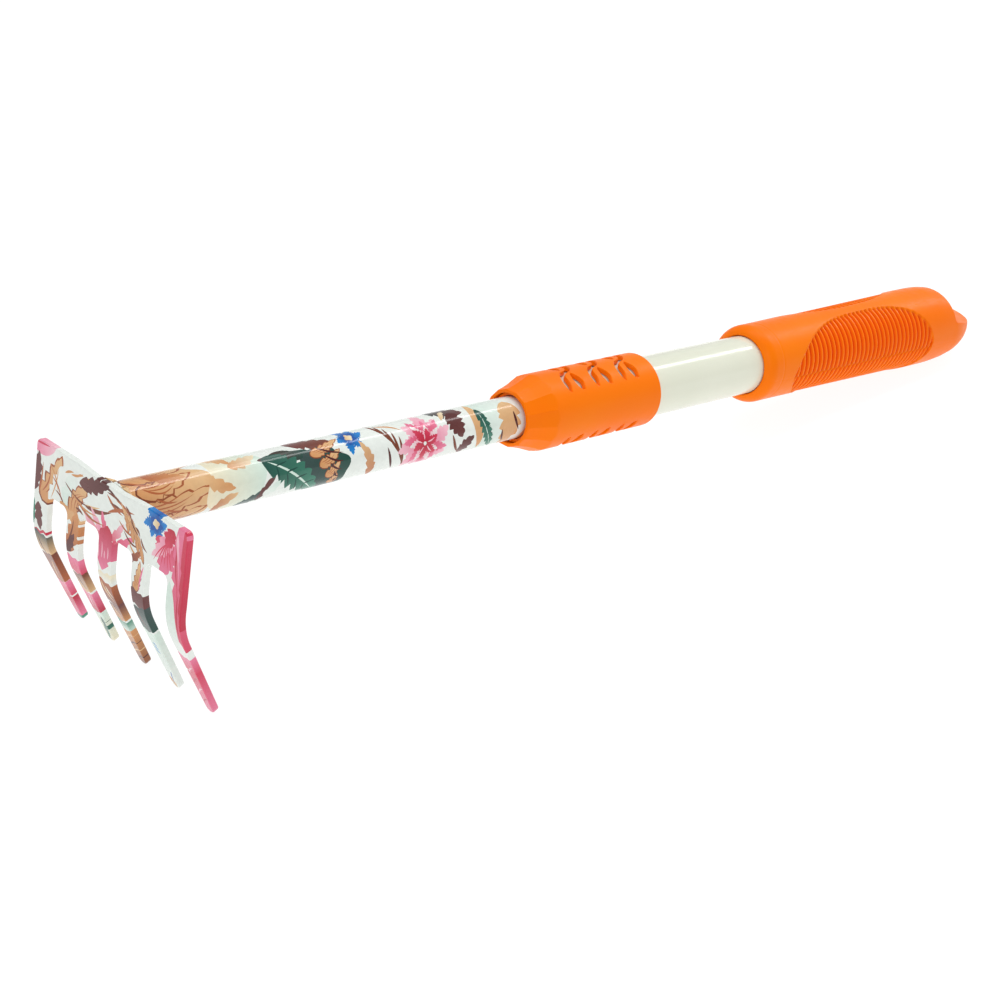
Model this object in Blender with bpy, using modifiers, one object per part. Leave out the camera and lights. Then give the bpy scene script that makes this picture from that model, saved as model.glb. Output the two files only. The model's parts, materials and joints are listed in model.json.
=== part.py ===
"""Telescopic hand cultivator with five tines, closed to its shortest length.

Every piece is modelled in the tool's own frame, in metres: X runs along the shaft from the head
to the grip, the shaft's axis is Y = Z = 0, and X = 0 is the front face of the head plate. The
empty called stance then tips the whole tool until it rests on its tine tips and the end of its
grip, with the middle of its footprint at the world origin.
"""

import math

import bmesh
import bpy
from mathutils import Matrix, Vector

MM = 0.001
GAP = 0.3 * MM  # clearance between pieces that touch in the real tool

# Head: one blank of sheet steel, cut flat and then bent.
SHEET = 2.5 * MM
HEAD_HALF_WIDTH = 40.8 * MM
HEAD_TOP = 9.0 * MM  # height of the blank's top edge above the shaft's axis
HEAD_CORNER = 2.2 * MM
HEAD_DIP = 1.0 * MM  # how far the top edge dips beside the tube
# The dip on one side: distance from the middle, and share of the full dip.
HEAD_DIP_PROFILE = ((0, 0.5), (5 * MM, 1), (10 * MM, 0.73), (15 * MM, 0.24), (20 * MM, 0))
EDGE_BEVEL = 0.35 * MM
BLANK_LENGTH = 75.2 * MM  # from the top edge to the tine tips, along the sheet
SLOT_START = 18.0 * MM  # from the top edge to the top of each slot
SLOT_CORNER = 2.8 * MM
TAPER_START = 26.0 * MM
BEND_START = 27.0 * MM
BEND_RADIUS = 30.0 * MM
BEND_ANGLE = math.radians(29.0)
TIP_WIDTH = 3.9 * MM
# Each tine beside the middle one: its centre at the root, its width at the root, its centre at the tip.
MIDDLE_TINE_WIDTH = 7.6 * MM
SIDE_TINES = (
    (18.0 * MM, 7.2 * MM, 18.3 * MM),
    (36.75 * MM, 8.1 * MM, 36.7 * MM),
)

# Shaft.
TUBE_R = 8.25 * MM
TUBE_WALL = 1.0 * MM
TUBE_END = 425.2 * MM
WELD_LEG = 1.7 * MM
# The fillet's face: share of the leg behind the plate, share of the leg out from the tube.
WELD_FACE = ((1.0, 0.12), (0.6, 0.5), (0.0, 1.0))
OUTER_R = 12.5 * MM
OUTER_WALL = 1.0 * MM
OUTER_START = 199.0 * MM
OUTER_END = 449.0 * MM

# Twist lock.
COLLAR_START = 181.9 * MM
COLLAR_END = 255.8 * MM
COLLAR_R = 15.0 * MM
COLLAR_FACETS = 14
MOUTH_R = 9.7 * MM
MOUTH_OUTER_R = 11.0 * MM
MOUTH_CHAMFER = 0.3 * MM
# The hollow sweep of each facet: station, distance from the axis to the middle of the flat.
FACET_SWEEP = (
    (COLLAR_START, MOUTH_OUTER_R),
    (185.0 * MM, 11.65 * MM),
    (188.0 * MM, 12.45 * MM),
    (191.0 * MM, 13.5 * MM),
    (195.3 * MM, COLLAR_R),
)
REAR_RIM = 0.8 * MM
REAR_RIM_BULGE = 0.25 * MM  # how far the rounded rim stands proud of a plain chamfer's corners
SKIRT_CHAMFER = 0.4 * MM
CONE_START = 184.0 * MM
CONE_END = 192.0 * MM
THREAD_R = 12.2 * MM
COLLET_END = 225.0 * MM
FINGER_TIP_R = 9.6 * MM
FINGER_ROOT_R = 11.2 * MM
FINGER_SLIT = 1.6 * MM
SLIT_OVERRUN = 2.5 * MM  # how far each slit runs past the fingers into the drum
PIN_STATION = 205.0 * MM
PIN_R = 1.2 * MM
PIN_HOLE_LENGTH = 7.0 * MM

# Windows in the collar: groups of one S-shaped slot between two leaves, in an upper and a lower
# band. Each band: the angle of its middle, and which way round it is drawn.
WINDOW_GROUPS = 3
WINDOW_FIRST = 210.3 * MM
WINDOW_PITCH = 15.9 * MM
WINDOW_CUT = 6.0 * MM  # depth of the cutter, which goes right through the wall
WINDOW_BANDS = ((math.radians(87.5), 1), (math.radians(-68.1), -1))
# Spines in millimetres from the group's middle: along the shaft, round it, half the width.
SLOT_ARM = (
    (-4.9, -10.6, 0.25),
    (-5.15, -9.5, 0.8),
    (-5.1, -8.0, 1.4),
    (-4.9, -6.1, 1.65),
    (-4.5, -4.2, 1.4),
    (-3.7, -2.4, 1.1),
    (-2.2, -0.9, 0.95),
)
SIDE_LEAF = (
    (2.6, -10.7, 0.25),
    (2.2, -9.8, 1.1),
    (1.9, -9.0, 1.6),
    (1.7, -7.3, 2.05),
    (1.55, -5.5, 1.95),
    (1.35, -3.7, 1.4),
    (1.3, -2.6, 0.8),
    (1.4, -1.7, 0.25),
)
SLOT_WAIST = 0.8

# Tail of the inner tube.
PLUG_START = 409.0 * MM
SPINDLE_R = 5.0 * MM
BUSH_LENGTH = 15.6 * MM
FLANGE_R = 8.2 * MM
FLANGE_LENGTH = 2.0 * MM
FLANGE_CHAMFER = 0.6 * MM
PLUG_CHAMFER = 1.0 * MM
BUSH_CHAMFER = 0.5 * MM
GROOVES = (0.65, 0.35)  # where each grease groove lies along the bush
GROOVE_DEPTH = 0.5 * MM
GROOVE_FLOOR = 0.8 * MM  # half the groove's width at its floor and at its mouth
GROOVE_MOUTH = 1.2 * MM

# Grip.
GRIP_START = 326.2 * MM
GRIP_TURN = math.radians(8.5)  # how far the grip stands round from the head
GRIP_FRONT_R = 16.9 * MM
GRIP_R = 18.3 * MM
FLARE_START = 340.0 * MM
FLARE_END = 450.0 * MM
LIP_R = 5.6 * MM
LIP_ANGLE = math.radians(68.0)  # how far the lip's round runs before it meets the bore
BORE_CHAMFER = 0.4 * MM
GRIP_END = 501.0 * MM
# The domed end, seen from above and from the side: start, power of the curve.
DOME_ABOVE = (473.0 * MM, 1.755)
DOME_BESIDE = (460.4 * MM, 1.78)
SCOOP_START = 472.2 * MM
SCOOP_CORNER = 2.5 * MM
TAB_ROOT = 8.0 * MM  # half thickness of the hanging tab at its root and at its tip
TAB_TIP = 2.35 * MM
HANG_HOLE = 488.0 * MM
HANG_HOLE_R = 4.0 * MM
CUT_CLEAR = 5 * MM  # how far cutters stand out past what they cut

ROUND = 48  # segments in a full turn


def new_material(name, colour, roughness, metallic=0.0):
    material = bpy.data.materials.new(name)
    material.use_nodes = True
    shader = material.node_tree.nodes["Principled BSDF"]
    shader.inputs["Base Color"].default_value = (*colour, 1.0)
    shader.inputs["Roughness"].default_value = roughness
    shader.inputs["Metallic"].default_value = metallic
    return material


def start_scene():
    """Empties the scene and makes the collections and the empty that carries the tool."""
    for thing in list(bpy.data.objects):
        bpy.data.objects.remove(thing, do_unlink=True)
    parts = bpy.data.collections.new("hand_cultivator")
    cutters = bpy.data.collections.new("cutters")
    bpy.context.scene.collection.children.link(parts)
    bpy.context.scene.collection.children.link(cutters)
    stance = bpy.data.objects.new("stance", None)
    parts.objects.link(stance)
    return parts, cutters, stance


PARTS, CUTTERS, STANCE = start_scene()


def add_object(name, data, material=None, matrix=None):
    """Links a piece to the tool, or a cutter if it has no material."""
    thing = bpy.data.objects.new(name, data)
    if material:
        PARTS.objects.link(thing)
        data.materials.append(material)
    else:
        CUTTERS.objects.link(thing)
        thing.hide_render = True
        thing.display_type = "WIRE"
    thing.parent = STANCE
    if matrix:
        thing.matrix_local = matrix
    return thing


def along_shaft(station=0.0):
    """A frame whose local Z runs along the shaft, towards the grip."""
    return Matrix.Translation((station, 0, 0)) @ Matrix.Rotation(math.pi / 2, 4, "Y")


def turned(name, profile, material=None, steps=ROUND):
    """A turned piece: profile holds (station, radius) pairs, grip end first down the outer side.

    A profile that starts and ends on the axis is solid, and any other is closed into a ring.
    """
    mesh = bpy.data.meshes.new(name)
    points = [(radius, 0, station) for station, radius in profile]
    edges = [(i, i + 1) for i in range(len(points) - 1)]
    if profile[0][1] > 0:
        edges.append((len(points) - 1, 0))
    mesh.from_pydata(points, edges, [])
    thing = add_object(name, mesh, material, along_shaft())
    screw = thing.modifiers.new("turn", "SCREW")
    screw.axis = "Z"
    screw.steps = steps
    screw.render_steps = steps
    screw.use_merge_vertices = True
    screw.merge_threshold = 0.00001
    screw.use_smooth_shade = True
    return thing


def cut(thing, cutter, operation="DIFFERENCE"):
    boolean = thing.modifiers.new(cutter.name, "BOOLEAN")
    boolean.operation = operation
    boolean.solver = "EXACT"
    boolean.object = cutter


def box_cutter(name, low, high):
    mesh = bpy.data.meshes.new(name)
    shape = bmesh.new()
    bmesh.ops.create_cube(shape, size=1.0)
    shape.to_mesh(mesh)
    shape.free()
    size = Vector(high) - Vector(low)
    middle = (Vector(low) + Vector(high)) / 2
    mesh.transform(Matrix.Translation(middle) @ Matrix.Diagonal((*size, 1.0)))
    return add_object(name, mesh)


def rod(name, radius, length, frame, material=None, segments=16):
    """A plain rod whose axis is its frame's Z, centred on that frame."""
    mesh = bpy.data.meshes.new(name)
    shape = bmesh.new()
    bmesh.ops.create_cone(
        shape, cap_ends=True, segments=segments, radius1=radius, radius2=radius, depth=length
    )
    shape.to_mesh(mesh)
    shape.free()
    mesh.shade_smooth()
    mesh.set_sharp_from_angle(angle=math.radians(40))
    return add_object(name, mesh, material, frame)


def arc(centre, radius, start, end, steps):
    """Points on an arc of a circle, from one angle to the other, both included."""
    angles = [start + (end - start) * i / steps for i in range(steps + 1)]
    return [(centre[0] + radius * math.cos(a), centre[1] + radius * math.sin(a)) for a in angles]


def flat_solid(outline, thickness):
    """The mesh of a flat outline, extruded both ways about its plane."""
    curve = bpy.data.curves.new("outline", "CURVE")
    curve.dimensions = "2D"
    curve.fill_mode = "BOTH"
    curve.extrude = thickness / 2
    spline = curve.splines.new("POLY")
    spline.points.add(len(outline) - 1)
    for point, (x, y) in zip(spline.points, outline):
        point.co = (x, y, 0, 1)
    spline.use_cyclic_u = True
    holder = bpy.data.objects.new("outline", curve)
    bpy.context.scene.collection.objects.link(holder)
    depsgraph = bpy.context.evaluated_depsgraph_get()
    mesh = bpy.data.meshes.new_from_object(holder.evaluated_get(depsgraph))
    bpy.data.objects.remove(holder, do_unlink=True)
    shape = bmesh.new()
    shape.from_mesh(mesh)
    bmesh.ops.remove_doubles(shape, verts=shape.verts, dist=0.00001)
    bmesh.ops.recalc_face_normals(shape, faces=shape.faces)
    shape.to_mesh(mesh)
    shape.free()
    return mesh


# Head.


def tine_tip(centre):
    """The rounded end of a tine, from its +Y side to its -Y side."""
    radius = TIP_WIDTH / 2
    return arc((centre, BLANK_LENGTH - radius), radius, 0, math.pi, 6)


def slot_top(outer, inner):
    """The squared top of a slot with rounded corners, from its +Y side to its -Y side."""
    level = SLOT_START + SLOT_CORNER
    right = arc((outer - SLOT_CORNER, level), SLOT_CORNER, 0, -math.pi / 2, 4)
    left = arc((inner + SLOT_CORNER, level), SLOT_CORNER, -math.pi / 2, -math.pi, 4)
    return right + left


def half_blank():
    """The +Y half of the blank's outline as (Y, distance below the top edge), from the top."""
    points = [(across, share * HEAD_DIP) for across, share in HEAD_DIP_PROFILE]
    corner = (HEAD_HALF_WIDTH - HEAD_CORNER, HEAD_CORNER)
    points += arc(corner, HEAD_CORNER, -math.pi / 2, 0, 4)
    slot_side = None
    for root_centre, root_width, tip_centre in reversed(SIDE_TINES):
        outer_root = root_centre + root_width / 2
        inner_root = root_centre - root_width / 2
        if slot_side is not None:
            points += slot_top(slot_side, outer_root)
        points.append((outer_root, TAPER_START))
        points += tine_tip(tip_centre)
        points.append((inner_root, TAPER_START))
        slot_side = inner_root
    points += slot_top(slot_side, MIDDLE_TINE_WIDTH / 2)
    points.append((MIDDLE_TINE_WIDTH / 2, TAPER_START))
    points += tine_tip(0)[:4]
    return points


def bent(across, down, depth):
    """Where a point of the flat blank goes once the tines are bent back.

    across is along Y, down is measured from the top edge, and depth is behind the front face.
    """
    turn = min(max(down - BEND_START, 0) / BEND_RADIUS, BEND_ANGLE)
    beyond = max(down - BEND_START - BEND_RADIUS * BEND_ANGLE, 0)
    straight = min(down, BEND_START)
    back = BEND_RADIUS * (1 - math.cos(turn)) + beyond * math.sin(turn) + depth * math.cos(turn)
    drop = straight + BEND_RADIUS * math.sin(turn) + beyond * math.cos(turn)
    return back, across, HEAD_TOP - drop + depth * math.sin(turn)


def make_head(material):
    half = half_blank()
    other_half = [(-y, down) for y, down in reversed(half[1:-1])]
    mesh = flat_solid(half + other_half, SHEET)
    shape = bmesh.new()
    shape.from_mesh(mesh)
    bends = 8
    for i in range(bends + 1):
        level = Vector((0, BEND_START + BEND_RADIUS * BEND_ANGLE * i / bends, 0))
        whole = shape.verts[:] + shape.edges[:] + shape.faces[:]
        bmesh.ops.bisect_plane(shape, geom=whole, plane_co=level, plane_no=(0, 1, 0), dist=1e-6)
    for vert in shape.verts:
        vert.co = bent(vert.co.x, vert.co.y, vert.co.z + SHEET / 2)
    bmesh.ops.reverse_faces(shape, faces=shape.faces)  # because the blank is drawn downwards
    shape.to_mesh(mesh)
    shape.free()
    head = add_object("rake_head", mesh, material)
    bevel = head.modifiers.new("rounded_edges", "BEVEL")
    bevel.width = EDGE_BEVEL
    bevel.segments = 1
    bevel.limit_method = "ANGLE"
    bevel.angle_limit = math.radians(50)
    return head


# Shaft.


def make_inner_tube(material):
    start = SHEET + GAP
    bore = TUBE_R - TUBE_WALL
    profile = [(TUBE_END, TUBE_R), (start, TUBE_R), (start, bore), (TUBE_END, bore)]
    return turned("inner_tube", profile, material)


def make_weld(material):
    """A fillet round the tube where it meets the plate, flush with the plate's top edge."""
    back = SHEET + GAP
    inside = TUBE_R + GAP
    profile = [(back + behind * WELD_LEG, inside + out * WELD_LEG) for behind, out in WELD_FACE]
    profile += [(back, inside), (back + WELD_LEG, inside)]
    weld = turned("weld_bead", profile, material)
    level = HEAD_TOP - HEAD_DIP
    top = box_cutter("weld_top", (-SHEET, -TUBE_R, level), (4 * SHEET, TUBE_R, 2 * TUBE_R))
    cut(weld, top)
    return weld


def make_outer_tube(material):
    bore = OUTER_R - OUTER_WALL
    profile = [(OUTER_END, OUTER_R), (OUTER_START, OUTER_R), (OUTER_START, bore), (OUTER_END, bore)]
    return turned("outer_tube", profile, material)


def make_tail_plug(material):
    """A plug in the tube's end, with a spindle for the bush and a flange that keeps it on."""
    shank = TUBE_R - TUBE_WALL - GAP
    shoulder = TUBE_END + GAP
    spindle_end = shoulder + BUSH_LENGTH + GAP
    profile = [
        (spindle_end + FLANGE_LENGTH, 0),
        (spindle_end + FLANGE_LENGTH, FLANGE_R - FLANGE_CHAMFER),
        (spindle_end + FLANGE_LENGTH - FLANGE_CHAMFER, FLANGE_R),
        (spindle_end, FLANGE_R),
        (spindle_end, SPINDLE_R),
        (TUBE_END, SPINDLE_R),
        (TUBE_END, shank),
        (PLUG_START + PLUG_CHAMFER, shank),
        (PLUG_START, shank - PLUG_CHAMFER),
        (PLUG_START, 0),
    ]
    return turned("tail_plug", profile, material, steps=32)


def make_tail_bush(material):
    """The sleeve that runs in the outer tube's bore, with two shallow grease grooves."""
    start = TUBE_END + GAP
    end = start + BUSH_LENGTH
    outside = OUTER_R - OUTER_WALL - GAP
    inside = SPINDLE_R + GAP
    rim = outside - BUSH_CHAMFER
    floor = outside - GROOVE_DEPTH
    profile = [(end, inside), (end, rim), (end - BUSH_CHAMFER, outside)]
    for share in GROOVES:
        middle = start + BUSH_LENGTH * share
        profile += [
            (middle + GROOVE_MOUTH, outside),
            (middle + GROOVE_FLOOR, floor),
            (middle - GROOVE_FLOOR, floor),
            (middle - GROOVE_MOUTH, outside),
        ]
    profile += [(start + BUSH_CHAMFER, outside), (start, rim), (start, inside)]
    return turned("tail_bush", profile, material, steps=32)


# Twist lock.


def pin_frame(side):
    """A frame at the middle of one side's collet pin, with its Z along the pin."""
    middle = (OUTER_R + TUBE_R) / 2
    return Matrix.Translation((PIN_STATION, side * middle, 0)) @ Matrix.Rotation(math.pi / 2, 4, "X")


def make_pin(name, side, material):
    length = OUTER_R - TUBE_R - 2 * GAP
    return rod(name, PIN_R, length, pin_frame(side), material)


def drill_for_pins(thing, name):
    for side in (-1, 1):
        hole = rod(f"{name}_{side}", PIN_R + GAP, PIN_HOLE_LENGTH, pin_frame(side))
        cut(thing, hole)


def make_collet(material):
    """A slit cone that grips the tube, a threaded drum, and a barrel inside the outer tube."""
    bore = TUBE_R + GAP
    barrel = OUTER_R - OUTER_WALL - GAP
    drum_end = OUTER_START - GAP
    drum_start = CONE_END + 2 * GAP
    profile = [
        (COLLET_END, barrel),
        (drum_end, barrel),
        (drum_end, THREAD_R),
        (drum_start, THREAD_R),
        (drum_start, FINGER_ROOT_R),
        (CONE_START + GAP, FINGER_TIP_R),
        (CONE_START + GAP, bore),
        (COLLET_END, bore),
    ]
    collet = turned("lock_collet", profile, material)
    reach = THREAD_R + CUT_CLEAR
    half = FINGER_SLIT / 2
    low = CONE_START - CUT_CLEAR
    high = CONE_END + SLIT_OVERRUN
    cut(collet, box_cutter("slit_level", (low, -reach, -half), (high, reach, half)))
    cut(collet, box_cutter("slit_upright", (low, -half, -reach), (high, half, reach)))
    drill_for_pins(collet, "collet_pin_hole")
    return collet


def ribbon(spine):
    """The outline of a strip whose spine holds (along, round, half the width), end to end."""
    right = []
    left = []
    last = len(spine) - 1
    for i, (along, around, half) in enumerate(spine):
        before = Vector(spine[max(i - 1, 0)][:2])
        after = Vector(spine[min(i + 1, last)][:2])
        way = (after - before).normalized()
        sideways = Vector((way.y, -way.x)) * half
        right.append(Vector((along, around)) + sideways)
        left.append(Vector((along, around)) - sideways)
    return right + left[::-1]


def window_group():
    """The outlines of one group: the S-shaped slot, and the leaf on either side of its waist."""
    other_arm = [(-along, -around, half) for along, around, half in reversed(SLOT_ARM)]
    slot = ribbon([*SLOT_ARM, (0, 0, SLOT_WAIST), *other_arm])
    leaf = ribbon(SIDE_LEAF)
    return slot, leaf, [-point for point in leaf]


def make_windows():
    """All the collar's windows as one cutter, wrapped round the collar."""
    shape = bmesh.new()
    places = [
        (outline, group, band)
        for outline in window_group()
        for group in range(WINDOW_GROUPS)
        for band in WINDOW_BANDS
    ]
    for outline, group, (middle, way) in places:
        station = WINDOW_FIRST + WINDOW_PITCH * group
        flat = [(point.x * MM, way * point.y * MM) for point in outline]
        mesh = flat_solid(flat, WINDOW_CUT)
        for vert in mesh.vertices:
            along, around, out = vert.co
            angle = middle + around / COLLAR_R
            radius = COLLAR_R + out
            vert.co = (station + along, -radius * math.cos(angle), radius * math.sin(angle))
        shape.from_mesh(mesh)
        bpy.data.meshes.remove(mesh)
    mesh = bpy.data.meshes.new("windows")
    shape.to_mesh(mesh)
    shape.free()
    return add_object("windows", mesh)


def stacked(name, sections):
    """A closed mesh through a stack of sections, each a ring of as many points as the others."""
    shape = bmesh.new()
    rings = [[shape.verts.new(point) for point in section] for section in sections]
    count = len(rings[0])
    for low, high in zip(rings, rings[1:]):
        for i in range(count):
            after = (i + 1) % count
            shape.faces.new((low[i], low[after], high[after], high[i]))
    shape.faces.new(rings[0])
    shape.faces.new(rings[-1])
    bmesh.ops.recalc_face_normals(shape, faces=shape.faces)
    mesh = bpy.data.meshes.new(name)
    shape.to_mesh(mesh)
    shape.free()
    return mesh


def oval(station, half_width, half_height, count=ROUND, first=0.5):
    """A ring of points across the shaft, the first of them this many steps up from its -Y side."""
    angles = [2 * math.pi * (i + first) / count for i in range(count)]
    return [(station, -half_width * math.cos(a), half_height * math.sin(a)) for a in angles]


def facet_sweep():
    """The many-sided flare that gives the collar's nose its hollow facets."""
    first_slope = (FACET_SWEEP[1][1] - FACET_SWEEP[0][1]) / (FACET_SWEEP[1][0] - FACET_SWEEP[0][0])
    last_slope = (FACET_SWEEP[-1][1] - FACET_SWEEP[-2][1]) / (FACET_SWEEP[-1][0] - FACET_SWEEP[-2][0])
    tail = COLLAR_END + CUT_CLEAR
    stations = [
        (COLLAR_START - CUT_CLEAR, MOUTH_OUTER_R - first_slope * CUT_CLEAR),
        *FACET_SWEEP,
        (tail, COLLAR_R + last_slope * (tail - FACET_SWEEP[-1][0])),
    ]
    corner = 1 / math.cos(math.pi / COLLAR_FACETS)
    sections = [
        oval(station, corner * radius, corner * radius, COLLAR_FACETS, first=0)
        for station, radius in stations
    ]
    return add_object("facet_sweep", stacked("facet_sweep", sections))


def make_collar(material):
    """The twist sleeve: a faceted nose with a cone and thread inside, and a windowed skirt."""
    nose = COLLAR_R - MOUTH_OUTER_R
    recess_end = OUTER_START - GAP
    skirt_bore = OUTER_R + GAP
    profile = [
        (COLLAR_END, COLLAR_R - REAR_RIM),
        (COLLAR_END - REAR_RIM_BULGE, COLLAR_R - REAR_RIM_BULGE),
        (COLLAR_END - REAR_RIM, COLLAR_R),
        (COLLAR_START + nose, COLLAR_R),
        (COLLAR_START, MOUTH_OUTER_R),
        (COLLAR_START, MOUTH_R + MOUTH_CHAMFER),
        (COLLAR_START + MOUTH_CHAMFER, MOUTH_R),
        (CONE_START, FINGER_TIP_R + GAP),
        (CONE_END, FINGER_ROOT_R + GAP),
        (CONE_END, THREAD_R + GAP),
        (recess_end, THREAD_R + GAP),
        (recess_end, skirt_bore),
        (COLLAR_END - SKIRT_CHAMFER, skirt_bore),
        (COLLAR_END, skirt_bore + SKIRT_CHAMFER),
    ]
    collar = turned("lock_collar", profile, material)
    cut(collar, facet_sweep(), "INTERSECT")
    cut(collar, make_windows())
    return collar


# Grip.


def domed(station, dome):
    """Share of the full size that a domed end keeps at a station."""
    start, power = dome
    share = min(max((station - start) / (GRIP_END - start), 0), 1)
    return (1 - share**power) ** (1 / power)


def grip_sections():
    """The grip's outer side as (station, half width, half height), from its lip to its end."""
    lip = arc((GRIP_START + LIP_R, GRIP_FRONT_R - LIP_R), LIP_R, math.pi / 2 + LIP_ANGLE, math.pi / 2, 6)
    sections = [(station, radius, radius) for station, radius in lip]
    start = DOME_BESIDE[0]
    steps = 16
    stations = [FLARE_START, FLARE_END, start]
    turns = [math.pi / 2 * i / steps for i in range(1, steps)]
    stations += [start + (GRIP_END - start) * math.sin(turn) for turn in turns]
    for station in stations:
        share = min(max((station - FLARE_START) / (FLARE_END - FLARE_START), 0), 1)
        radius = GRIP_FRONT_R + (GRIP_R - GRIP_FRONT_R) * share
        width = radius * domed(station, DOME_ABOVE)
        sections.append((station, width, radius * domed(station, DOME_BESIDE)))
    return sections


def make_scoop(name, side, turn):
    """Cuts away the dome above or below the hanging tab, with a round inside corner."""
    clear = GRIP_R + CUT_CLEAR
    slope = (TAB_ROOT - TAB_TIP) / (GRIP_END - SCOOP_START)
    corner = (SCOOP_START + SCOOP_CORNER, TAB_ROOT + SCOOP_CORNER)
    past = GRIP_END + CUT_CLEAR
    outline = [(SCOOP_START, clear)] + arc(corner, SCOOP_CORNER, math.pi, 1.5 * math.pi, 4)
    outline += [(past, TAB_TIP - slope * CUT_CLEAR), (past, clear)]
    mesh = flat_solid([(station, side * height) for station, height in outline], 2 * clear)
    return add_object(name, mesh, matrix=turn @ Matrix.Rotation(math.pi / 2, 4, "X"))


def make_grip(material):
    """The moulded grip: an oval body with a blind bore, a domed end and a tab with a hole."""
    turn = Matrix.Rotation(GRIP_TURN, 4, "X")
    mesh = stacked("grip", [oval(*section) for section in grip_sections()])
    mesh.shade_smooth()
    grip = add_object("grip", mesh, material, turn)
    bore = OUTER_R + GAP
    blind_end = OUTER_END + GAP
    mouth = GRIP_START - CUT_CLEAR
    flare = GRIP_START + LIP_R * (1 - math.sin(LIP_ANGLE)) + BORE_CHAMFER
    profile = [
        (blind_end, 0),
        (blind_end, bore),
        (flare, bore),
        (mouth, bore + flare - mouth),
        (mouth, 0),
    ]
    cut(grip, turned("grip_bore", profile))
    cut(grip, make_scoop("upper_scoop", 1, turn))
    cut(grip, make_scoop("lower_scoop", -1, turn))
    upright = turn @ Matrix.Translation((HANG_HOLE, 0, 0))
    hole = rod("hang_hole", HANG_HOLE_R, 4 * TAB_ROOT, upright, segments=24)
    cut(grip, hole)
    return grip


# The whole tool.


def resting_pitch():
    """How far the shaft slopes down to the grip when the tine tips and the grip touch the ground."""
    tip_station, _, tip_height = bent(0, BLANK_LENGTH, 0)
    turn = Matrix.Rotation(GRIP_TURN, 4, "X")
    points = [turn @ Vector(point) for section in grip_sections() for point in oval(*section)]
    slopes = [
        math.atan2(point.z - tip_height, point.x - tip_station)
        for point in points
        if point.x < SCOOP_START
    ]
    return min(slopes)


def stand_on_ground():
    """Tips the tool into its stance and brings the middle of its footprint to the origin."""
    STANCE.rotation_euler = (0, resting_pitch(), 0)
    depsgraph = bpy.context.evaluated_depsgraph_get()
    corners = []
    for thing in PARTS.objects:
        if thing.type == "MESH":
            shown = thing.evaluated_get(depsgraph)
            mesh = shown.to_mesh()
            corners += [shown.matrix_world @ vert.co for vert in mesh.vertices]
            shown.to_mesh_clear()
    low = [min(corner[axis] for corner in corners) for axis in range(3)]
    high = [max(corner[axis] for corner in corners) for axis in range(3)]
    STANCE.location = (-(low[0] + high[0]) / 2, -(low[1] + high[1]) / 2, -low[2])


def main():
    printed_steel = new_material("printed_steel", (0.86, 0.88, 0.80), 0.25)
    cream_steel = new_material("cream_steel", (0.83, 0.83, 0.72), 0.22)
    orange_plastic = new_material("orange_plastic", (0.95, 0.22, 0.01), 0.40)
    nylon = new_material("nylon", (0.75, 0.74, 0.70), 0.50)
    bare_steel = new_material("bare_steel", (0.56, 0.57, 0.58), 0.35, metallic=1.0)
    make_head(printed_steel)
    make_weld(printed_steel.copy())
    make_inner_tube(printed_steel.copy())
    make_tail_plug(nylon)
    make_tail_bush(nylon.copy())
    drill_for_pins(make_outer_tube(cream_steel), "tube_pin_hole")
    make_collet(orange_plastic.copy())
    make_pin("collet_pin_near", -1, bare_steel)
    make_pin("collet_pin_far", 1, bare_steel.copy())
    make_collar(orange_plastic.copy())
    make_grip(orange_plastic)
    stand_on_ground()


main()
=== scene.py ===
"""The looks of a telescopic hand cultivator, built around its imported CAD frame.

Pieces are drawn in the tool's own frame: X runs along the shaft from the head to the grip, the
shaft's axis is Y = Z = 0, and angles round the shaft start at the near side and pass over the top.
Flat work, which is the printed sheet, the printed tube and the collar's wall, is drawn in
millimetres and then bent into place.
"""

import json
from collections import namedtuple
from math import ceil, cos, degrees, dist, exp, pi, radians, sin, sqrt

import bmesh
import bpy
import numpy as np
from mathutils import Matrix, Vector
from mathutils.geometry import delaunay_2d_cdt


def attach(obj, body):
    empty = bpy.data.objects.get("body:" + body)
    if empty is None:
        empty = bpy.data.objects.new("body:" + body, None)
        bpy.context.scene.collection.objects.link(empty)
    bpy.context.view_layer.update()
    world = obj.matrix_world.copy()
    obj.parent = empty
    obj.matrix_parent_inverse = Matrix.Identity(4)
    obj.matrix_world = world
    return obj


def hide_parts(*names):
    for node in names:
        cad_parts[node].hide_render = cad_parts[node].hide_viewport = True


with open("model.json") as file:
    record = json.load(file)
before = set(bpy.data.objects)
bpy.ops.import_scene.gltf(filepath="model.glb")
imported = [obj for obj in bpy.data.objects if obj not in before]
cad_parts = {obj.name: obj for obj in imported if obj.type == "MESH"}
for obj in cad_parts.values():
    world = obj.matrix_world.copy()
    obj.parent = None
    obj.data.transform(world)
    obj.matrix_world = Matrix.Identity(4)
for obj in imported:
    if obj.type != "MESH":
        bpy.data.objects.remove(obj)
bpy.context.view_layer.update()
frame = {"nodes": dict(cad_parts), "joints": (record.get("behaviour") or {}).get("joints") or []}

MM = 0.001

# The tool's frame, from the twist lock's joint.
LOCK_STATION = 218 * MM
lock = next(joint for joint in frame["joints"] if joint["name"] == "lock_twist")
SHAFT = Vector(lock["axis"]).normalized()
ACROSS = Vector((0, 1, 0))
UPWARD = SHAFT.cross(ACROSS)
FRONT = Vector(lock["pos_m"]) - LOCK_STATION * SHAFT
STANCE = Matrix.Translation(FRONT) @ Matrix((SHAFT, ACROSS, UPWARD)).transposed().to_4x4()

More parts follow.
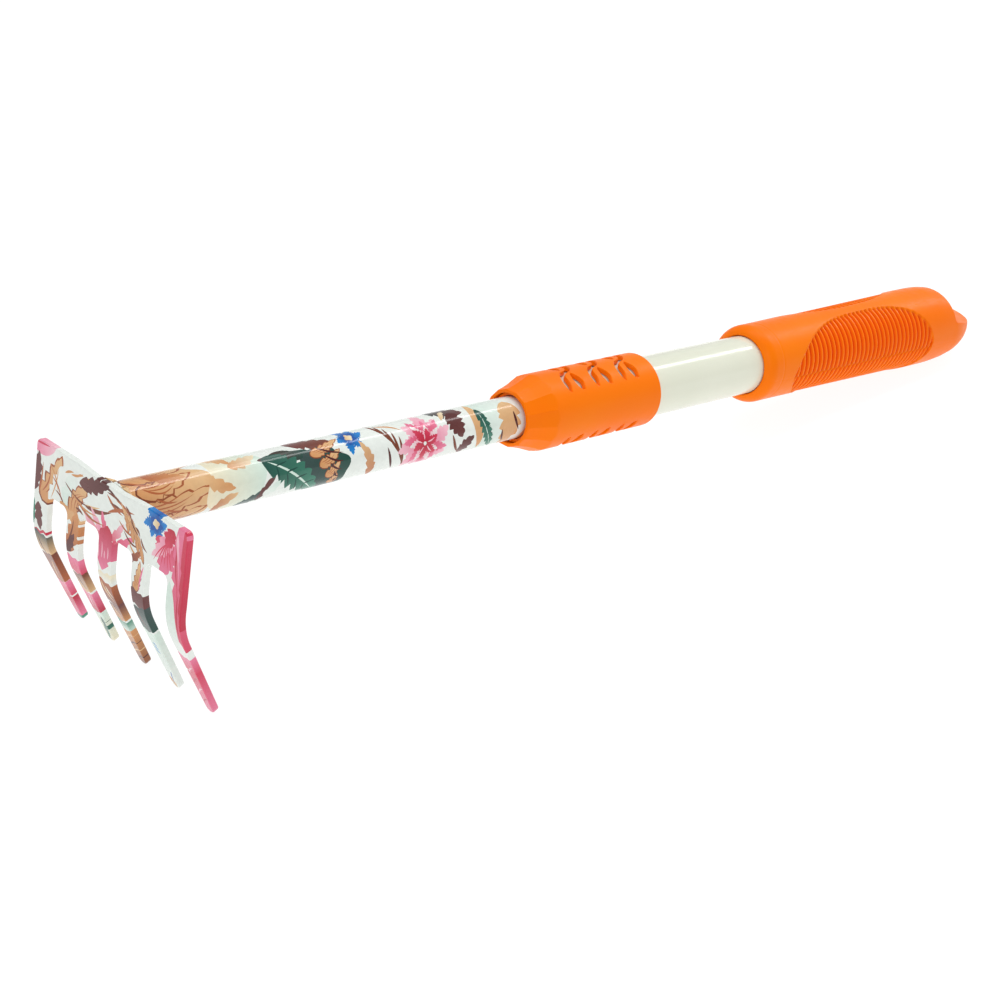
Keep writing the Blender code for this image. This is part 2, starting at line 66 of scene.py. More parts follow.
# Sizes in millimetres, as in the CAD.
SHEET = 2.5
HEAD_HALF_WIDTH = 40.8
HEAD_TOP = 9.0
HEAD_CORNER = 2.2
HEAD_DIP = 1.0
HEAD_DIP_PROFILE = ((0, 0.5), (5, 1), (10, 0.73), (15, 0.24), (20, 0))
BLANK_LENGTH = 75.2
SLOT_START = 18.0
SLOT_CORNER = 2.8
TAPER_START = 26.0
BEND_START = 27.0
BEND_RADIUS = 30.0
BEND_ANGLE = radians(29.0)
TIP_WIDTH = 3.9
MIDDLE_TINE_WIDTH = 7.6
SIDE_TINES = ((18.0, 7.2, 18.3), (36.75, 8.1, 36.7))
SHEET_EDGE = 0.45

TUBE_R = 8.25
TUBE_START = 2.8
TUBE_END = 425.2
TUBE_WALL = 1.0
OUTER_R = 12.5
OUTER_START = 199.0
OUTER_END = 449.0

COLLAR_START = 181.9
COLLAR_END = 255.8
COLLAR_R = 15.0
COLLAR_FACETS = 14
FACET = 2 * pi / COLLAR_FACETS
FACET_COLUMNS = 8
FACET_SWEEP = ((181.9, 11.0), (185.0, 11.65), (188.0, 12.45), (191.0, 13.5), (195.3, 15.0))
MOUTH_R = 9.7
MOUTH_OUTER_R = 11.0
CONE_START = 184.0
CONE_END = 192.0
FINGER_TIP_R = 9.9
FINGER_ROOT_R = 11.5
THREAD_R = 12.5
RECESS_END = 198.7
SKIRT_BORE = 12.8
COLLAR_EDGE = 0.4
COLLAR_SEAM = -170.0  # the angle where the flat wall's two ends meet, clear of the windows
WINDOW_GROUPS = 3
WINDOW_FIRST = 210.3
WINDOW_PITCH = 15.9
WINDOW_BANDS = ((87.5, 1), (-68.1, -1))  # a band's middle in degrees, and -1 if it is mirrored
# Spines from a group's middle: along the shaft, round it, half the width.
SLOT_ARM = (
    (-4.9, -10.6, 0.25), (-5.15, -9.5, 0.8), (-5.1, -8.0, 1.4), (-4.9, -6.1, 1.65),
    (-4.5, -4.2, 1.4), (-3.7, -2.4, 1.1), (-2.2, -0.9, 0.95),
)
SIDE_LEAF = (
    (2.6, -10.7, 0.25), (2.2, -9.8, 1.1), (1.9, -9.0, 1.6), (1.7, -7.3, 2.05),
    (1.55, -5.5, 1.95), (1.35, -3.7, 1.4), (1.3, -2.6, 0.8), (1.4, -1.7, 0.25),
)
SLOT_WAIST = 0.8

GRIP_START = 326.2
GRIP_TURN = radians(8.5)
GRIP_FRONT_R = 16.9
GRIP_R = 18.3
FLARE_START = 340.0
FLARE_END = 450.0
GRIP_END = 501.0
GRIP_BORE = 12.8
GRIP_BLIND_END = 449.3
LIP_R = 5.6
LIP_ANGLE = radians(68.0)
BORE_CHAMFER = 0.4
DOME_ABOVE = (473.0, 1.755)
DOME_BESIDE = (460.4, 1.78)
SCOOP_START = 472.2
SCOOP_CORNER = 2.5
TAB_ROOT = 8.0
TAB_TIP = 2.35
HANG_HOLE = 488.0
HANG_HOLE_R = 4.0
RIB_PITCH = 3.2
RIB_FIRST = 347.0
RIB_FIELD = (345.5, 453.0)
RIB_REACH = 82.0
RIB_CREST = 0.45
RIB_GROOVE = 1.7
RIB_FIELD_ENDS = (2.3, 3.2)  # how full the ribbed field's front and rear ends are
RIB_FIELD_ARCH = 0.62
RIB_FIELD_EDGE = 3.0  # the degrees over which the field sinks to its depth
RIB_OFFSET = 0.35  # the part of a pitch that the ribs shift below the parting line
RING_LINE = 336.5
RING_DEPTH = 0.16
RING_SPREAD = 0.35
PARTING_DEPTH = 0.1
PARTING_SPREAD = 0.28

# Edges that turn by more than this stay sharp.
TURNED_SHARP = radians(35)
COLLAR_SHARP = radians(14)
GRIP_SHARP = radians(48)


def srgb(red, green, blue):
    """A display colour, each part from 0 to 255, as linear light."""
    return tuple(
        (part / 255 / 12.92) if part < 10.3 else ((part / 255 + 0.055) / 1.055) ** 2.4
        for part in (red, green, blue)
    )


# The print's own palette.
IVORY = srgb(236, 242, 236)
MINT = srgb(214, 234, 222)
CREAM = srgb(240, 228, 196)
SAND = srgb(228, 188, 138)
TAN = srgb(212, 150, 96)
RUST = srgb(180, 100, 58)
BROWN = srgb(122, 60, 36)
MAROON = srgb(84, 30, 28)
MAUVE = srgb(108, 60, 58)
BLUSH = srgb(246, 196, 208)
PINK = srgb(236, 128, 162)
ROSE = srgb(214, 62, 92)
CRIMSON = srgb(190, 30, 58)
TEAL = srgb(70, 142, 118)
PINE = srgb(22, 74, 64)
SLATE = srgb(58, 76, 74)
BLUE = srgb(26, 140, 216)
NAVY = srgb(10, 84, 166)


# Materials.


def add_node(tree, kind, values):
    """A new node with some of its inputs set."""
    node = tree.nodes.new("ShaderNode" + kind)
    for key, value in values.items():
        node.inputs[key].default_value = value
    return node


def new_material(name, roughness, coat=0.0, specular=0.5):
    material = bpy.data.materials.new(name)
    material.use_nodes = True
    shader = material.node_tree.nodes["Principled BSDF"]
    shader.inputs["Roughness"].default_value = roughness
    shader.inputs["Specular IOR Level"].default_value = specular
    shader.inputs["Coat Weight"].default_value = coat
    shader.inputs["Coat Roughness"].default_value = 0.08
    return material, material.node_tree, shader


def noise(tree, scale, detail=3.0, stretch=(1, 1, 1)):
    """A noise in the object's own space: scale is in cycles per metre."""
    place = tree.nodes.new("ShaderNodeTexCoord")
    mapping = add_node(tree, "Mapping", {"Scale": stretch})
    texture = add_node(tree, "TexNoise", {"Scale": scale, "Detail": detail})
    tree.links.new(place.outputs["Object"], mapping.inputs["Vector"])
    tree.links.new(mapping.outputs["Vector"], texture.inputs["Vector"])
    return texture.outputs["Fac"]


def spread(tree, value, low, high):
    """Maps a noise onto a range."""
    ends = {"From Min": 0.3, "From Max": 0.7, "To Min": low, "To Max": high}
    node = add_node(tree, "MapRange", ends)
    tree.links.new(value, node.inputs["Value"])
    return node.outputs["Result"]


def vary_roughness(tree, shader, value, low, high):
    tree.links.new(spread(tree, value, low, high), shader.inputs["Roughness"])


def bump(tree, shader, height, strength, distance):
    node = add_node(tree, "Bump", {"Strength": strength, "Distance": distance})
    tree.links.new(height, node.inputs["Height"])
    tree.links.new(node.outputs["Normal"], shader.inputs["Normal"])


def mixed(tree, share, first, second, blend="MIX"):
    """A blend of two colours. Each of the three is a value or another node's output."""
    node = tree.nodes.new("ShaderNodeMix")
    node.data_type = "RGBA"
    node.blend_type = blend
    for slot, value in ((0, share), (6, first), (7, second)):
        if isinstance(value, bpy.types.NodeSocket):
            tree.links.new(value, node.inputs[slot])
        else:
            node.inputs[slot].default_value = value
    return node.outputs[2]


def two_tone(tree, shader, value, first, second):
    colour = mixed(tree, spread(tree, value, 0, 1), (*first, 1), (*second, 1))
    tree.links.new(colour, shader.inputs["Base Color"])


def mesh_colour(tree, layer):
    node = tree.nodes.new("ShaderNodeVertexColor")
    node.layer_name = layer
    return node.outputs["Color"]


def printed_material():
    """Lacquer over a print, which is drawn in the mesh's colours."""
    material, tree, shader = new_material("floral_print", 0.24, coat=0.55, specular=0.1)
    shade = tree.nodes.new("ShaderNodeCombineColor")
    level = spread(tree, noise(tree, 420, 5), 0.93, 1.0)
    for part in ("Red", "Green", "Blue"):
        tree.links.new(level, shade.inputs[part])
    tone = mixed(tree, 1.0, mesh_colour(tree, "print"), shade.outputs["Color"], "MULTIPLY")
    tree.links.new(tone, shader.inputs["Base Color"])
    vary_roughness(tree, shader, noise(tree, 260), 0.18, 0.32)
    bump(tree, shader, noise(tree, 500, 2), 0.12, 0.0001)
    return material


def cream_material():
    material, tree, shader = new_material("cream_lacquer", 0.2, coat=0.4, specular=0.3)
    two_tone(tree, shader, noise(tree, 30), srgb(233, 235, 217), srgb(227, 230, 210))
    vary_roughness(tree, shader, noise(tree, 180), 0.17, 0.26)
    bump(tree, shader, noise(tree, 420, 2), 0.08, 0.0001)
    return material


def orange_material(name, shaded_grooves=False):
    """Moulded plastic with a faint flow in its colour and a fine sparked grain.

    The plastic looks deeper where light is caught between the ribs; this is painted shade, mixed in by
    an amount that the mesh's colours hold.
    """
    material, tree, shader = new_material(name, 0.36, specular=0.1)
    flow = noise(tree, 45, 2, stretch=(0.4, 1, 1))
    two_tone(tree, shader, flow, srgb(255, 118, 0), srgb(255, 127, 0))
    if shaded_grooves:
        # Painted shade: the grooves between the ribs are mixed towards a deep red-orange.
        plain = shader.inputs["Base Color"].links[0].from_socket
        level = tree.nodes.new("ShaderNodeSeparateColor")
        tree.links.new(mesh_colour(tree, "painted_groove_shade"), level.inputs["Color"])
        painted_shade = mixed(tree, level.outputs["Red"], plain, (*srgb(226, 44, 0), 1))
        tree.links.new(painted_shade, shader.inputs["Base Color"])
    vary_roughness(tree, shader, noise(tree, 320), 0.31, 0.43)
    bump(tree, shader, noise(tree, 2600, 2), 0.16, 0.00006)
    return material


def nylon_material():
    material, tree, shader = new_material("natural_nylon", 0.5)
    two_tone(tree, shader, noise(tree, 90), srgb(222, 218, 206), srgb(210, 205, 190))
    bump(tree, shader, noise(tree, 1500, 2), 0.15, 0.00008)
    return material


def steel_material():
    material, tree, shader = new_material("bare_steel", 0.35)
    shader.inputs["Metallic"].default_value = 1.0
    two_tone(tree, shader, noise(tree, 700), srgb(196, 198, 200), srgb(172, 174, 177))
    vary_roughness(tree, shader, noise(tree, 900, 3, stretch=(1, 6, 1)), 0.28, 0.45)
    return material


# The print's shapes. Each is an outline with a colour that runs from one point to another.
Shape = namedtuple("Shape", "outline start end near far")
DRAWN = []


def axes(start, end):
    """A shape's two ends, the run between them and the unit way to its side."""
    first = Vector(start)
    last = Vector(end)
    run = last - first
    return first, last, run, Vector((run.y, -run.x)).normalized()


def leaf(start, end, width, near, far, bow=0.0, teeth=0, tip=0.9):
    """A leaf or petal from its base to its tip. bow is sideways, and teeth cut its far sides."""
    steps = max(10, 5 * teeth)
    first, last, _, side = axes(start, end)
    right = []
    left = []
    for i in range(1, steps):
        share = i / steps
        middle = first.lerp(last, share) + side * bow * sin(pi * share)
        half = width / 2 * sin(pi * share**tip) ** 0.75
        notches = [0.0, 0.0]
        if teeth and share > 0.24:
            notches = [0.42 * (1 - (teeth * share + phase) % 1) ** 1.7 for phase in (0.0, 0.45)]
        right.append(middle + side * half * (1 - notches[0]))
        left.append(middle - side * half * (1 - notches[1]))
    outline = [tuple(point) for point in (first, *right, last, *reversed(left))]
    DRAWN.append(Shape(outline, tuple(first), tuple(last), near, far))


def vein(start, end, width, colour, bow=0.0):
    """A brush line that is thickest in the middle."""
    leaf(start, end, width, colour, colour, bow=bow, tip=0.8)


def patch(centre, across, down, near, far, lobes=5, depth=0.16):
    """A rounded patch with a wavy edge."""
    x, y = centre
    outline = []
    for i in range(10 * lobes):
        angle = 2 * pi * i / (10 * lobes)
        swell = 1 + depth * sin(lobes * angle) + 0.05 * sin(2.3 + 3 * angle)
        outline.append(
            (x + across / 2 * swell * cos(angle), y + down / 2 * swell * sin(angle))
        )
    DRAWN.append(Shape(outline, (x - across / 2, y), (x + across / 2, y), near, far))


def rosette(centre, radius, count, petal, width, near, far, turn):
    """A ring of petals round a centre."""
    for k in range(count):
        angle = turn + 2 * pi * k / count + 0.16 * sin(5.1 * k + turn)
        reach = radius * (1 + 0.12 * sin(3.7 * k + 2 * turn))
        aim = Vector((cos(angle), sin(angle)))
        start = Vector(centre) + aim * radius * 0.1
        petal(start, Vector(centre) + aim * reach, width, near, far, bow=0.12 * width)


def toothed(start, end, width, near, far, bow):
    leaf(start, end, width, near, far, bow=bow, teeth=6, tip=0.62)


def peony(centre, radius, turn):
    """A full pink blossom with a dark heart, drawn from its outer petals inwards."""
    for size, count, width, near, far, more in (
        (1.0, 9, 0.62, PINK, BLUSH, 0.0), (0.8, 8, 0.4, ROSE, PINK, 0.4),
        (0.62, 7, 0.3, PINK, IVORY, 0.2), (0.5, 6, 0.32, CRIMSON, ROSE, 0.0),
    ):
        rosette(centre, radius * size, count, toothed, radius * width, near, far, turn + more)
    x, y = centre
    for k in range(5):
        angle = turn + 1.3 * k
        aim = Vector((cos(angle), sin(angle))) * radius
        vein((x + 0.1 * aim.x, y + 0.1 * aim.y), (x + 0.4 * aim.x, y + 0.4 * aim.y), 0.5, BLUSH, 0.3)


def blue_flower(centre, radius, turn):
    rosette(centre, radius, 6, toothed, radius * 0.72, NAVY, BLUE, turn)
    rosette(centre, radius * 0.55, 5, leaf, radius * 0.34, NAVY, NAVY, turn + 0.5)
    patch(centre, radius * 0.5, radius * 0.45, SAND, CREAM, lobes=4)


def tan_bloom(start, end, width, bow):
    """An outlined tan petal with brown brush lines along it."""
    first, last, run, side = axes(start, end)
    side = side * width
    leaf(start, end, width * 1.14, BROWN, RUST, bow=bow, teeth=5, tip=0.7)
    leaf(first + 0.03 * run, last - 0.05 * run, width * 0.94, TAN, SAND, bow=bow, teeth=5, tip=0.7)
    for k, sway in enumerate((-0.24, 0.02, 0.26)):
        root = first + (0.14 + 0.05 * k) * run + side * sway * 0.7
        tip = first + (0.62 + 0.09 * (k % 2)) * run + side * sway
        vein(root, tip, width * 0.07, RUST, bow)


def green_leaf(start, end, width, bow):
    """A toothed leaf with a pale midrib and side veins."""
    first, last, run, side = axes(start, end)
    side = side * width
    leaf(start, end, width, PINE, TEAL, bow=bow, teeth=8, tip=0.85)
    vein(first + 0.08 * run, last - 0.1 * run, width * 0.07, MINT, bow)
    for k in range(4):
        root = first + (0.2 + 0.16 * k) * run
        for way in (-1, 1):
            vein(root, root + 0.12 * run + side * 0.3 * way, width * 0.05, PINE)


def brush_lines(start, step, count, length, width, colour, bow):
    """Loose parallel brush lines, each a step further on."""
    for k in range(count):
        first = Vector(start) + Vector(step) * k
        last = first + Vector(length) * (0.8 + 0.3 * sin(2.1 * k))
        vein(first, last, width, colour, bow * (1 if k % 2 else -0.6))


def collected():
    """The shapes drawn since the last call."""
    shapes = DRAWN[:]
    DRAWN.clear()
    return shapes


def head_print():
    """The head's print as (Y, distance below the top edge)."""
    # Far end of the plate.
    leaf((42, 3), (30, 0.5), 7, PINK, BLUSH, -0.5)
    vein((41, 1.2), (33, 0.6), 0.8, ROSE)
    tan_bloom((36, 21), (26, 1), 10, 1.2)
    leaf((41, 19), (39, 4), 6, MAUVE, MAUVE, 0.6, 4)
    vein((38, 19), (36.4, 7), 0.9, RUST, 0.4)
    leaf((31.5, 21), (24, 3), 9, IVORY, IVORY, 0.8, 4)
    vein((31, 18), (27.5, 6), 0.5, TAN, 0.5)
    leaf((22, 21), (18, 3.5), 9, MINT, IVORY, -1.0, 3)
    tan_bloom((20, 20.5), (9, 5), 6.5, -2.2)
    brush_lines((24, 6), (-3.4, -0.7), 4, (-6, -2.4), 0.9, TAN, 0.5)
    # Middle of the plate.
    leaf((16, 6.4), (0, 1.2), 6.5, MAUVE, MAROON, 0.6, 5)
    vein((1, 4), (-8, 8), 1.1, RUST, 0.9)
    vein((-1, 6.4), (-10, 7.6), 0.9, BROWN, -0.6)
    vein((12, 13), (-2, 9.5), 1.5, BROWN, 0.9)
    vein((0, 10), (-14, 5), 1.3, RUST, -0.9)
    vein((12, 12.4), (4, 10.4), 0.7, SAND, 0.4)
    brush_lines((17, 15.5), (-3.2, -1.5), 3, (-5.5, 1.4), 1.0, BROWN, 0.6)
    leaf((0, 20), (13, 14.6), 3.4, ROSE, BLUSH, -0.9, 3)
    leaf((0, 19), (9, 11.8), 3.0, PINK, BLUSH, -0.6, 3)
    leaf((-1, 19), (3, 10.6), 3.0, ROSE, PINK, -0.4, 3)
    leaf((-2, 19), (-9, 10.4), 3.6, ROSE, BLUSH, 0.6, 3)
    leaf((-3, 20), (-15, 12.5), 3.4, ROSE, PINK, 0.9, 3)
    leaf((-4, 22), (-17, 18), 3.0, PINK, BLUSH, 0.7, 3)
    leaf((1, 31), (-0.6, 14.5), 11.5, PINK, CRIMSON, 0.5, 4, 1.2)
    brush_lines((3, 27), (-1.6, -0.3), 4, (0.3, -5.5), 0.45, BLUSH, 0.2)
    # Flowing outlines across the middle.
    for k in range(3):
        vein((24 - 4 * k, 9 + 2.2 * k), (9 - 4 * k, 12.4 + 1.4 * k), 0.8, (BROWN, TAN, RUST)[k], 1.6)
        vein((6 - 5 * k, 2.6 + 0.8 * k), (-6 - 4 * k, 4.6 + 2 * k), 0.9, (MAROON, BROWN, RUST)[k], -1.3)
        vein((-6 - 3 * k, 10 + 2.4 * k), (-17 - 1.4 * k, 12 + 3 * k), 0.8, (RUST, BROWN, TAN)[k], 1.5)
        vein((33 - 2 * k, 6 + 4 * k), (27 - 2 * k, 15 + 2 * k), 0.7, (TAN, RUST, BROWN)[k], -1.2)
    leaf((26, 17), (13, 19.5), 4.6, TAN, SAND, 1.4, 4)
    leaf((-12, 21), (-19, 15.4), 3.2, MAUVE, RUST, 0.8, 3)
    # Slashes, the blue flower and the pink one at the near end.
    for k in range(4):
        tan_bloom((-20.5 + 2.9 * k, 19.5 - 2.4 * k), (-12.6 + 2.1 * k, 6.6 - 1.0 * k), 1.9, 0.7)
    brush_lines((-9, 4), (-3, 2.4), 4, (-4.8, 4.6), 0.8, BROWN, 0.7)
    blue_flower((-25, 3.4), 6.2, 0.3)
    leaf((-31, 6), (-29.4, 19), 13, ROSE, PINK, -1.2, 5, 0.62)
    leaf((-33, 4), (-24, 14.5), 7, PINK, BLUSH, -0.8, 4, 0.62)
    leaf((-34, 2), (-31, 9), 6.5, CRIMSON, ROSE, 0.4, 3)
    for k in range(6):
        vein((-32 + 0.2 * k, 6 + 0.3 * k), (-34.5 + 1.9 * k, 16.6 - 0.5 * (k % 3)), 0.5, ROSE, 0.4)
    leaf((-38.2, -3), (-40.9, 48), 8.4, PINK, ROSE, 0.6, 7, 0.7)
    leaf((-39.4, -1), (-41.4, 44), 3.6, ROSE, CRIMSON, -0.2, 6)
    leaf((-36.0, 2), (-38.2, 20), 2.0, BLUSH, PINK, 0.3, 3)
    vein((-35, 4), (-38.4, 26), 0.6, ROSE, -0.5)
    vein((-36, 8), (-37.6, 20), 0.5, CRIMSON, 0.5)
    vein((-38.6, 22), (-39.6, 40), 0.6, CRIMSON, 0.4)
    tine_prints()
    return collected()


def band(centre, start, end, near, far, slant=0.0):
    """A colour that fills a tine from one level to another, with ragged slanting edges."""
    half_width = 6.0
    steps = 6
    outline = []
    for level, order in ((start, range(steps + 1)), (end, reversed(range(steps + 1)))):
        for i in order:
            y = centre - half_width + 2 * half_width * i / steps
            outline.append((y, level + slant * (i / steps - 0.5) + (0.5 if i % 2 else -0.4)))
    DRAWN.append(Shape(outline, (centre, start), (centre, end), near, far))


def tine_prints():
    far, second, third, fourth, near = 36.7, 18.2, 0.0, -18.2, -36.7
    # Far tine.
    leaf((41, 21), (40, 31), 3, TEAL, TEAL, teeth=3)
    leaf((38, 22), (36, 32), 5, MAUVE, MAUVE, 0.3, 3)
    band(far, 32, 33.2, CRIMSON, ROSE, 1.6)
    band(far, 33.2, 42, SLATE, SAND, -2)
    band(far, 42, 56, BROWN, RUST, 2.4)
    vein((38.4, 35), (36, 44), 0.7, MAROON, 0.5)
    vein((35.6, 45), (37.2, 55), 0.7, SAND, 0.5)
    band(far, 56, 63, PINK, ROSE, 2)
    band(far, 63, 73, CRIMSON, PINK, -2)
    band(far, 73, 77, TEAL, TEAL)
    # Second tine.
    leaf((20.5, 33), (16, 17), 7.5, RUST, TAN, 0.8, 4)
    vein((20.6, 30), (17.6, 20), 0.8, BROWN, 0.6)
    leaf((21, 33), (17, 25), 4, MAROON, MAUVE, 0.3, 3)
    band(second, 34, 41, PINK, ROSE, -1.4)
    band(second, 41, 50, BROWN, SAND, 2.6)
    vein((19.4, 41), (17, 49), 0.8, MAROON, 0.5)
    band(second, 50, 60, PINK, CRIMSON, -2)
    vein((17.6, 51), (18.8, 58), 0.5, BLUSH, 0.3)
    band(second, 60, 77, MINT, CREAM)
    leaf((17.2, 62), (19, 75), 2.6, PINE, TEAL, -0.3, 3)
    # Middle tine.
    band(third, 31.5, 35, CREAM, IVORY, 1.5)
    band(third, 35, 45, RUST, BROWN, -2.6)
    vein((2.4, 35.5), (-1.6, 43.5), 1.0, SAND, 0.5)
    vein((0.4, 37), (-2.6, 41), 0.8, CREAM, 0.4)
    band(third, 45, 53, MAUVE, TAN, 2.4)
    vein((1.8, 46), (-1.4, 52), 0.7, SAND, 0.4)
    band(third, 53, 58, TEAL, MINT, -2)
    band(third, 58, 77, TAN, BROWN, 2)
    for k in range(4):
        vein((-2.2, 60 + 3.6 * k), (2.0, 62.4 + 3.6 * k), 0.8, MAROON if k % 2 else SAND, 0.5)
    # Fourth tine.
    tan_bloom((-16.6, 31), (-18.6, 19), 3.6, 0.6)
    vein((-20.6, 20), (-18.8, 30), 0.7, PINK, 0.3)
    band(fourth, 30, 36, MAUVE, MAUVE, -2.6)
    band(fourth, 36, 47, SLATE, PINE, 2)
    vein((-16.4, 37), (-19, 46), 0.9, MAUVE, 0.6)
    band(fourth, 47, 77, MINT, IVORY, -2)
    for k in range(3):
        vein((-17.0, 53 + 1.7 * k), (-19.0, 54 + 1.8 * k), 0.8, BLUE, 0.2)
    leaf((-16.8, 70), (-19.2, 74.8), 2.6, TAN, SAND, teeth=2)
    vein((-19.8, 66), (-18.4, 73), 0.6, NAVY, 0.3)
    # Near tine.
    leaf((-34, 19), (-36.4, 50), 6.4, MINT, IVORY, 0.2)
    band(near, 47, 55, PINK, ROSE, -2.4)
    band(near, 55, 77, ROSE, PINK, 2.4)
    for k in range(4):
        vein((-38.4, 52 + 5.2 * k), (-35.4, 56 + 5.0 * k), 0.7, CRIMSON if k % 2 else BLUSH, 0.5)


def tube_motifs(shift, flip):
    """One length of the tube's print as (station, angle in degrees from the near side)."""

    def at(station, turn):
        angle = 180 - turn if flip else turn
        return station + shift, radians(angle) * TUBE_R

    def go(draw, start, end, *rest):
        draw(at(*start), at(*end), *rest)

    # Ochre ground and tan petals next to the head.
    patch(at(17, 35), 36, 30, TAN, SAND, lobes=7, depth=0.1)
    patch(at(16, 190), 34, 30, SAND, TAN, lobes=6, depth=0.1)
    for k, turn in enumerate((-70, -30, 15, 60, 105, 150, 195, 240)):
        go(tan_bloom, (3 + 3 * (k % 2), turn - 14), (30 + 4 * (k % 3), turn + 16), 7.2, 1.4)
    go(leaf, (12, 96), (27, 66), 6.2, RUST, TAN, 1.0, 4)
    for k in range(6):
        go(vein, (5 + 4 * k, 88 - 30 * k), (14 + 3.6 * k, 60 - 24 * k), 0.8, RUST, 0.8)
    # Pale cream with tan streaks.
    patch(at(46, 30), 24, 34, CREAM, MINT, lobes=6, depth=0.12)
    go(leaf, (32, 60), (45, 12), 5.6, SAND, TAN, 1.4, 4)
    go(leaf, (38, 112), (46, 74), 5.0, SAND, TAN, -0.8, 3)
    go(leaf, (44, 64), (57, 86), 5.4, TAN, CREAM, 0.7, 4)
    go(leaf, (36, -46), (46, 0), 4.8, RUST, SAND, -0.8, 3)
    go(tan_bloom, (36, 200), (56, 150), 7.0, 1.2)
    # Green leaves with a dark ground.
    go(leaf, (46, -52), (58, -8), 5.0, PINE, SLATE, 0.8, 4)
    go(leaf, (55, -46), (62, 22), 3.6, MAROON, MAUVE, -1.0, 3)
    patch(at(83, 4), 23, 19, SLATE, PINE, lobes=6, depth=0.1)
    patch(at(67, 60), 20, 5.2, MAROON, PINE, lobes=5, depth=0.14)
    go(green_leaf, (58, 66), (82, -58), 12.5, -1.0)
    go(green_leaf, (72, 150), (88, 215), 9.0, 1.0)
    go(leaf, (57, -24), (64, 6), 4.0, IVORY, MINT, 0.6, 3)
    # Mauve and tan petals.
    go(leaf, (71, 104), (91, 72), 7.2, MAUVE, BROWN, 0.6, 5)
    for k, turn in enumerate((64, 34, 4, -26)):
        go(tan_bloom, (78 + 3 * k, turn - 18), (93 - 1.2 * k, turn + 16), 4.2, 0.6)
    for k in range(5):
        go(vein, (82 + 2 * k, 64 - 22 * k), (93 - 0.8 * k, 38 - 20 * k), 0.8, MAROON, 0.7)
    # Blue flowers.
    blue_flower(at(98, 74), 6.6, 0.2)
    blue_flower(at(100, 190), 6.0, 0.9)
    # Ivory with a tan leaf and dark slashes.
    go(leaf, (106, -50), (101, 58), 4.6, RUST, SAND, 0.9, 5)
    for k in range(5):
        go(vein, (109 + 2.6 * k, 112 - 16 * k), (116 + 1.6 * k, 44 - 24 * k), 1.2, BROWN, 1.0)
    go(vein, (113, 26), (117, -44), 1.1, MAROON, 0.6)
    go(vein, (112, 92), (122, 60), 0.9, TAN, -0.7)
    # Peonies.
    peony(at(131, 14), 13.0, 0.3)
    peony(at(128, 204), 10.0, 1.1)
    # Dark leaves beside the peony, on a pale green ground.
    patch(at(169, 40), 25, 36, MINT, IVORY, lobes=5, depth=0.1)
    go(leaf, (138, 114), (154, 76), 8.6, SLATE, MAUVE, 0.6, 4)
    go(leaf, (147, 84), (150, 8), 9.2, MAROON, MAUVE, 0.6, 5)
    go(leaf, (146, 96), (142, 62), 2.6, CREAM, SAND, 0.5, 2)
    go(leaf, (150, -46), (156, 6), 6.4, MAUVE, MAROON, -0.8, 4)
    go(vein, (145, 20), (150, -40), 1.2, BROWN, 0.8)
    # Tan stripe and a toothed green leaf.
    go(leaf, (158, 108), (160, -44), 4.4, SAND, TAN, 0.4)
    go(green_leaf, (160, 76), (167, -52), 5.6, 0.8)
    go(green_leaf, (152, 150), (168, 214), 8.0, -0.8)
    # Tan petal with dark slashes.
    go(leaf, (176, 82), (173, -62), 12.5, SAND, TAN, -0.6, 5, 0.8)
    go(vein, (178, 46), (180, -8), 1.2, MAROON, 0.6)
    go(vein, (171, 4), (173, -36), 1.0, MAROON, 0.5)
    go(tan_bloom, (170, 150), (186, 200), 8.0, 0.8)


def tube_print(low, high):
    """The tube's whole print, cut to the flat sheet. Every other length of it is turned over."""
    repeat = 184
    for k in range(3):
        tube_motifs(repeat * k, k % 2 == 1)
    kept = []
    edge = 0.5
    for shape in collected():
        outline = []
        for u, v in shape.outline:
            u = min(max(u, TUBE_START + edge), TUBE_END - edge)
            v = min(max(v, low + edge), high - edge)
            if not outline or dist(outline[-1], (u, v)) > 0.02:
                outline.append((u, v))
        if abs(signed_area(outline)) > 0.05:
            kept.append(shape._replace(outline=outline))
    return kept


# Sheet work.


def signed_area(loop):
    return 0.5 * sum(a[0] * b[1] - b[0] * a[1] for a, b in zip(loop, loop[1:] + loop[:1]))


def counter_clockwise(loop):
    return loop if signed_area(loop) > 0 else loop[::-1]


def inset(loop, distance):
    """A closed outline moved in by a small distance. Its inside is on its left."""
    loop = counter_clockwise(loop)
    moved = []
    for before, here, after in zip(loop[-1:] + loop[:-1], loop, loop[1:] + loop[:1]):
        first = (Vector(here) - Vector(before)).normalized()
        second = (Vector(after) - Vector(here)).normalized()
        left = Vector((-first.y, first.x)) + Vector((-second.y, second.x))
        reach = max(1 + first.dot(second), 0.4)
        moved.append(tuple(Vector(here) + left / reach * distance))
    return moved


def windings(loop, points):
    """How often a closed outline goes round each point."""
    count = np.zeros(len(points), int)
    x, y = points.T
    for (ax, ay), (bx, by) in zip(loop, loop[1:] + loop[:1]):
        left = (bx - ax) * (y - ay) - (x - ax) * (by - ay)
        count += (ay <= y) & (by > y) & (left > 0)
        count -= (ay > y) & (by <= y) & (left < 0)
    return count


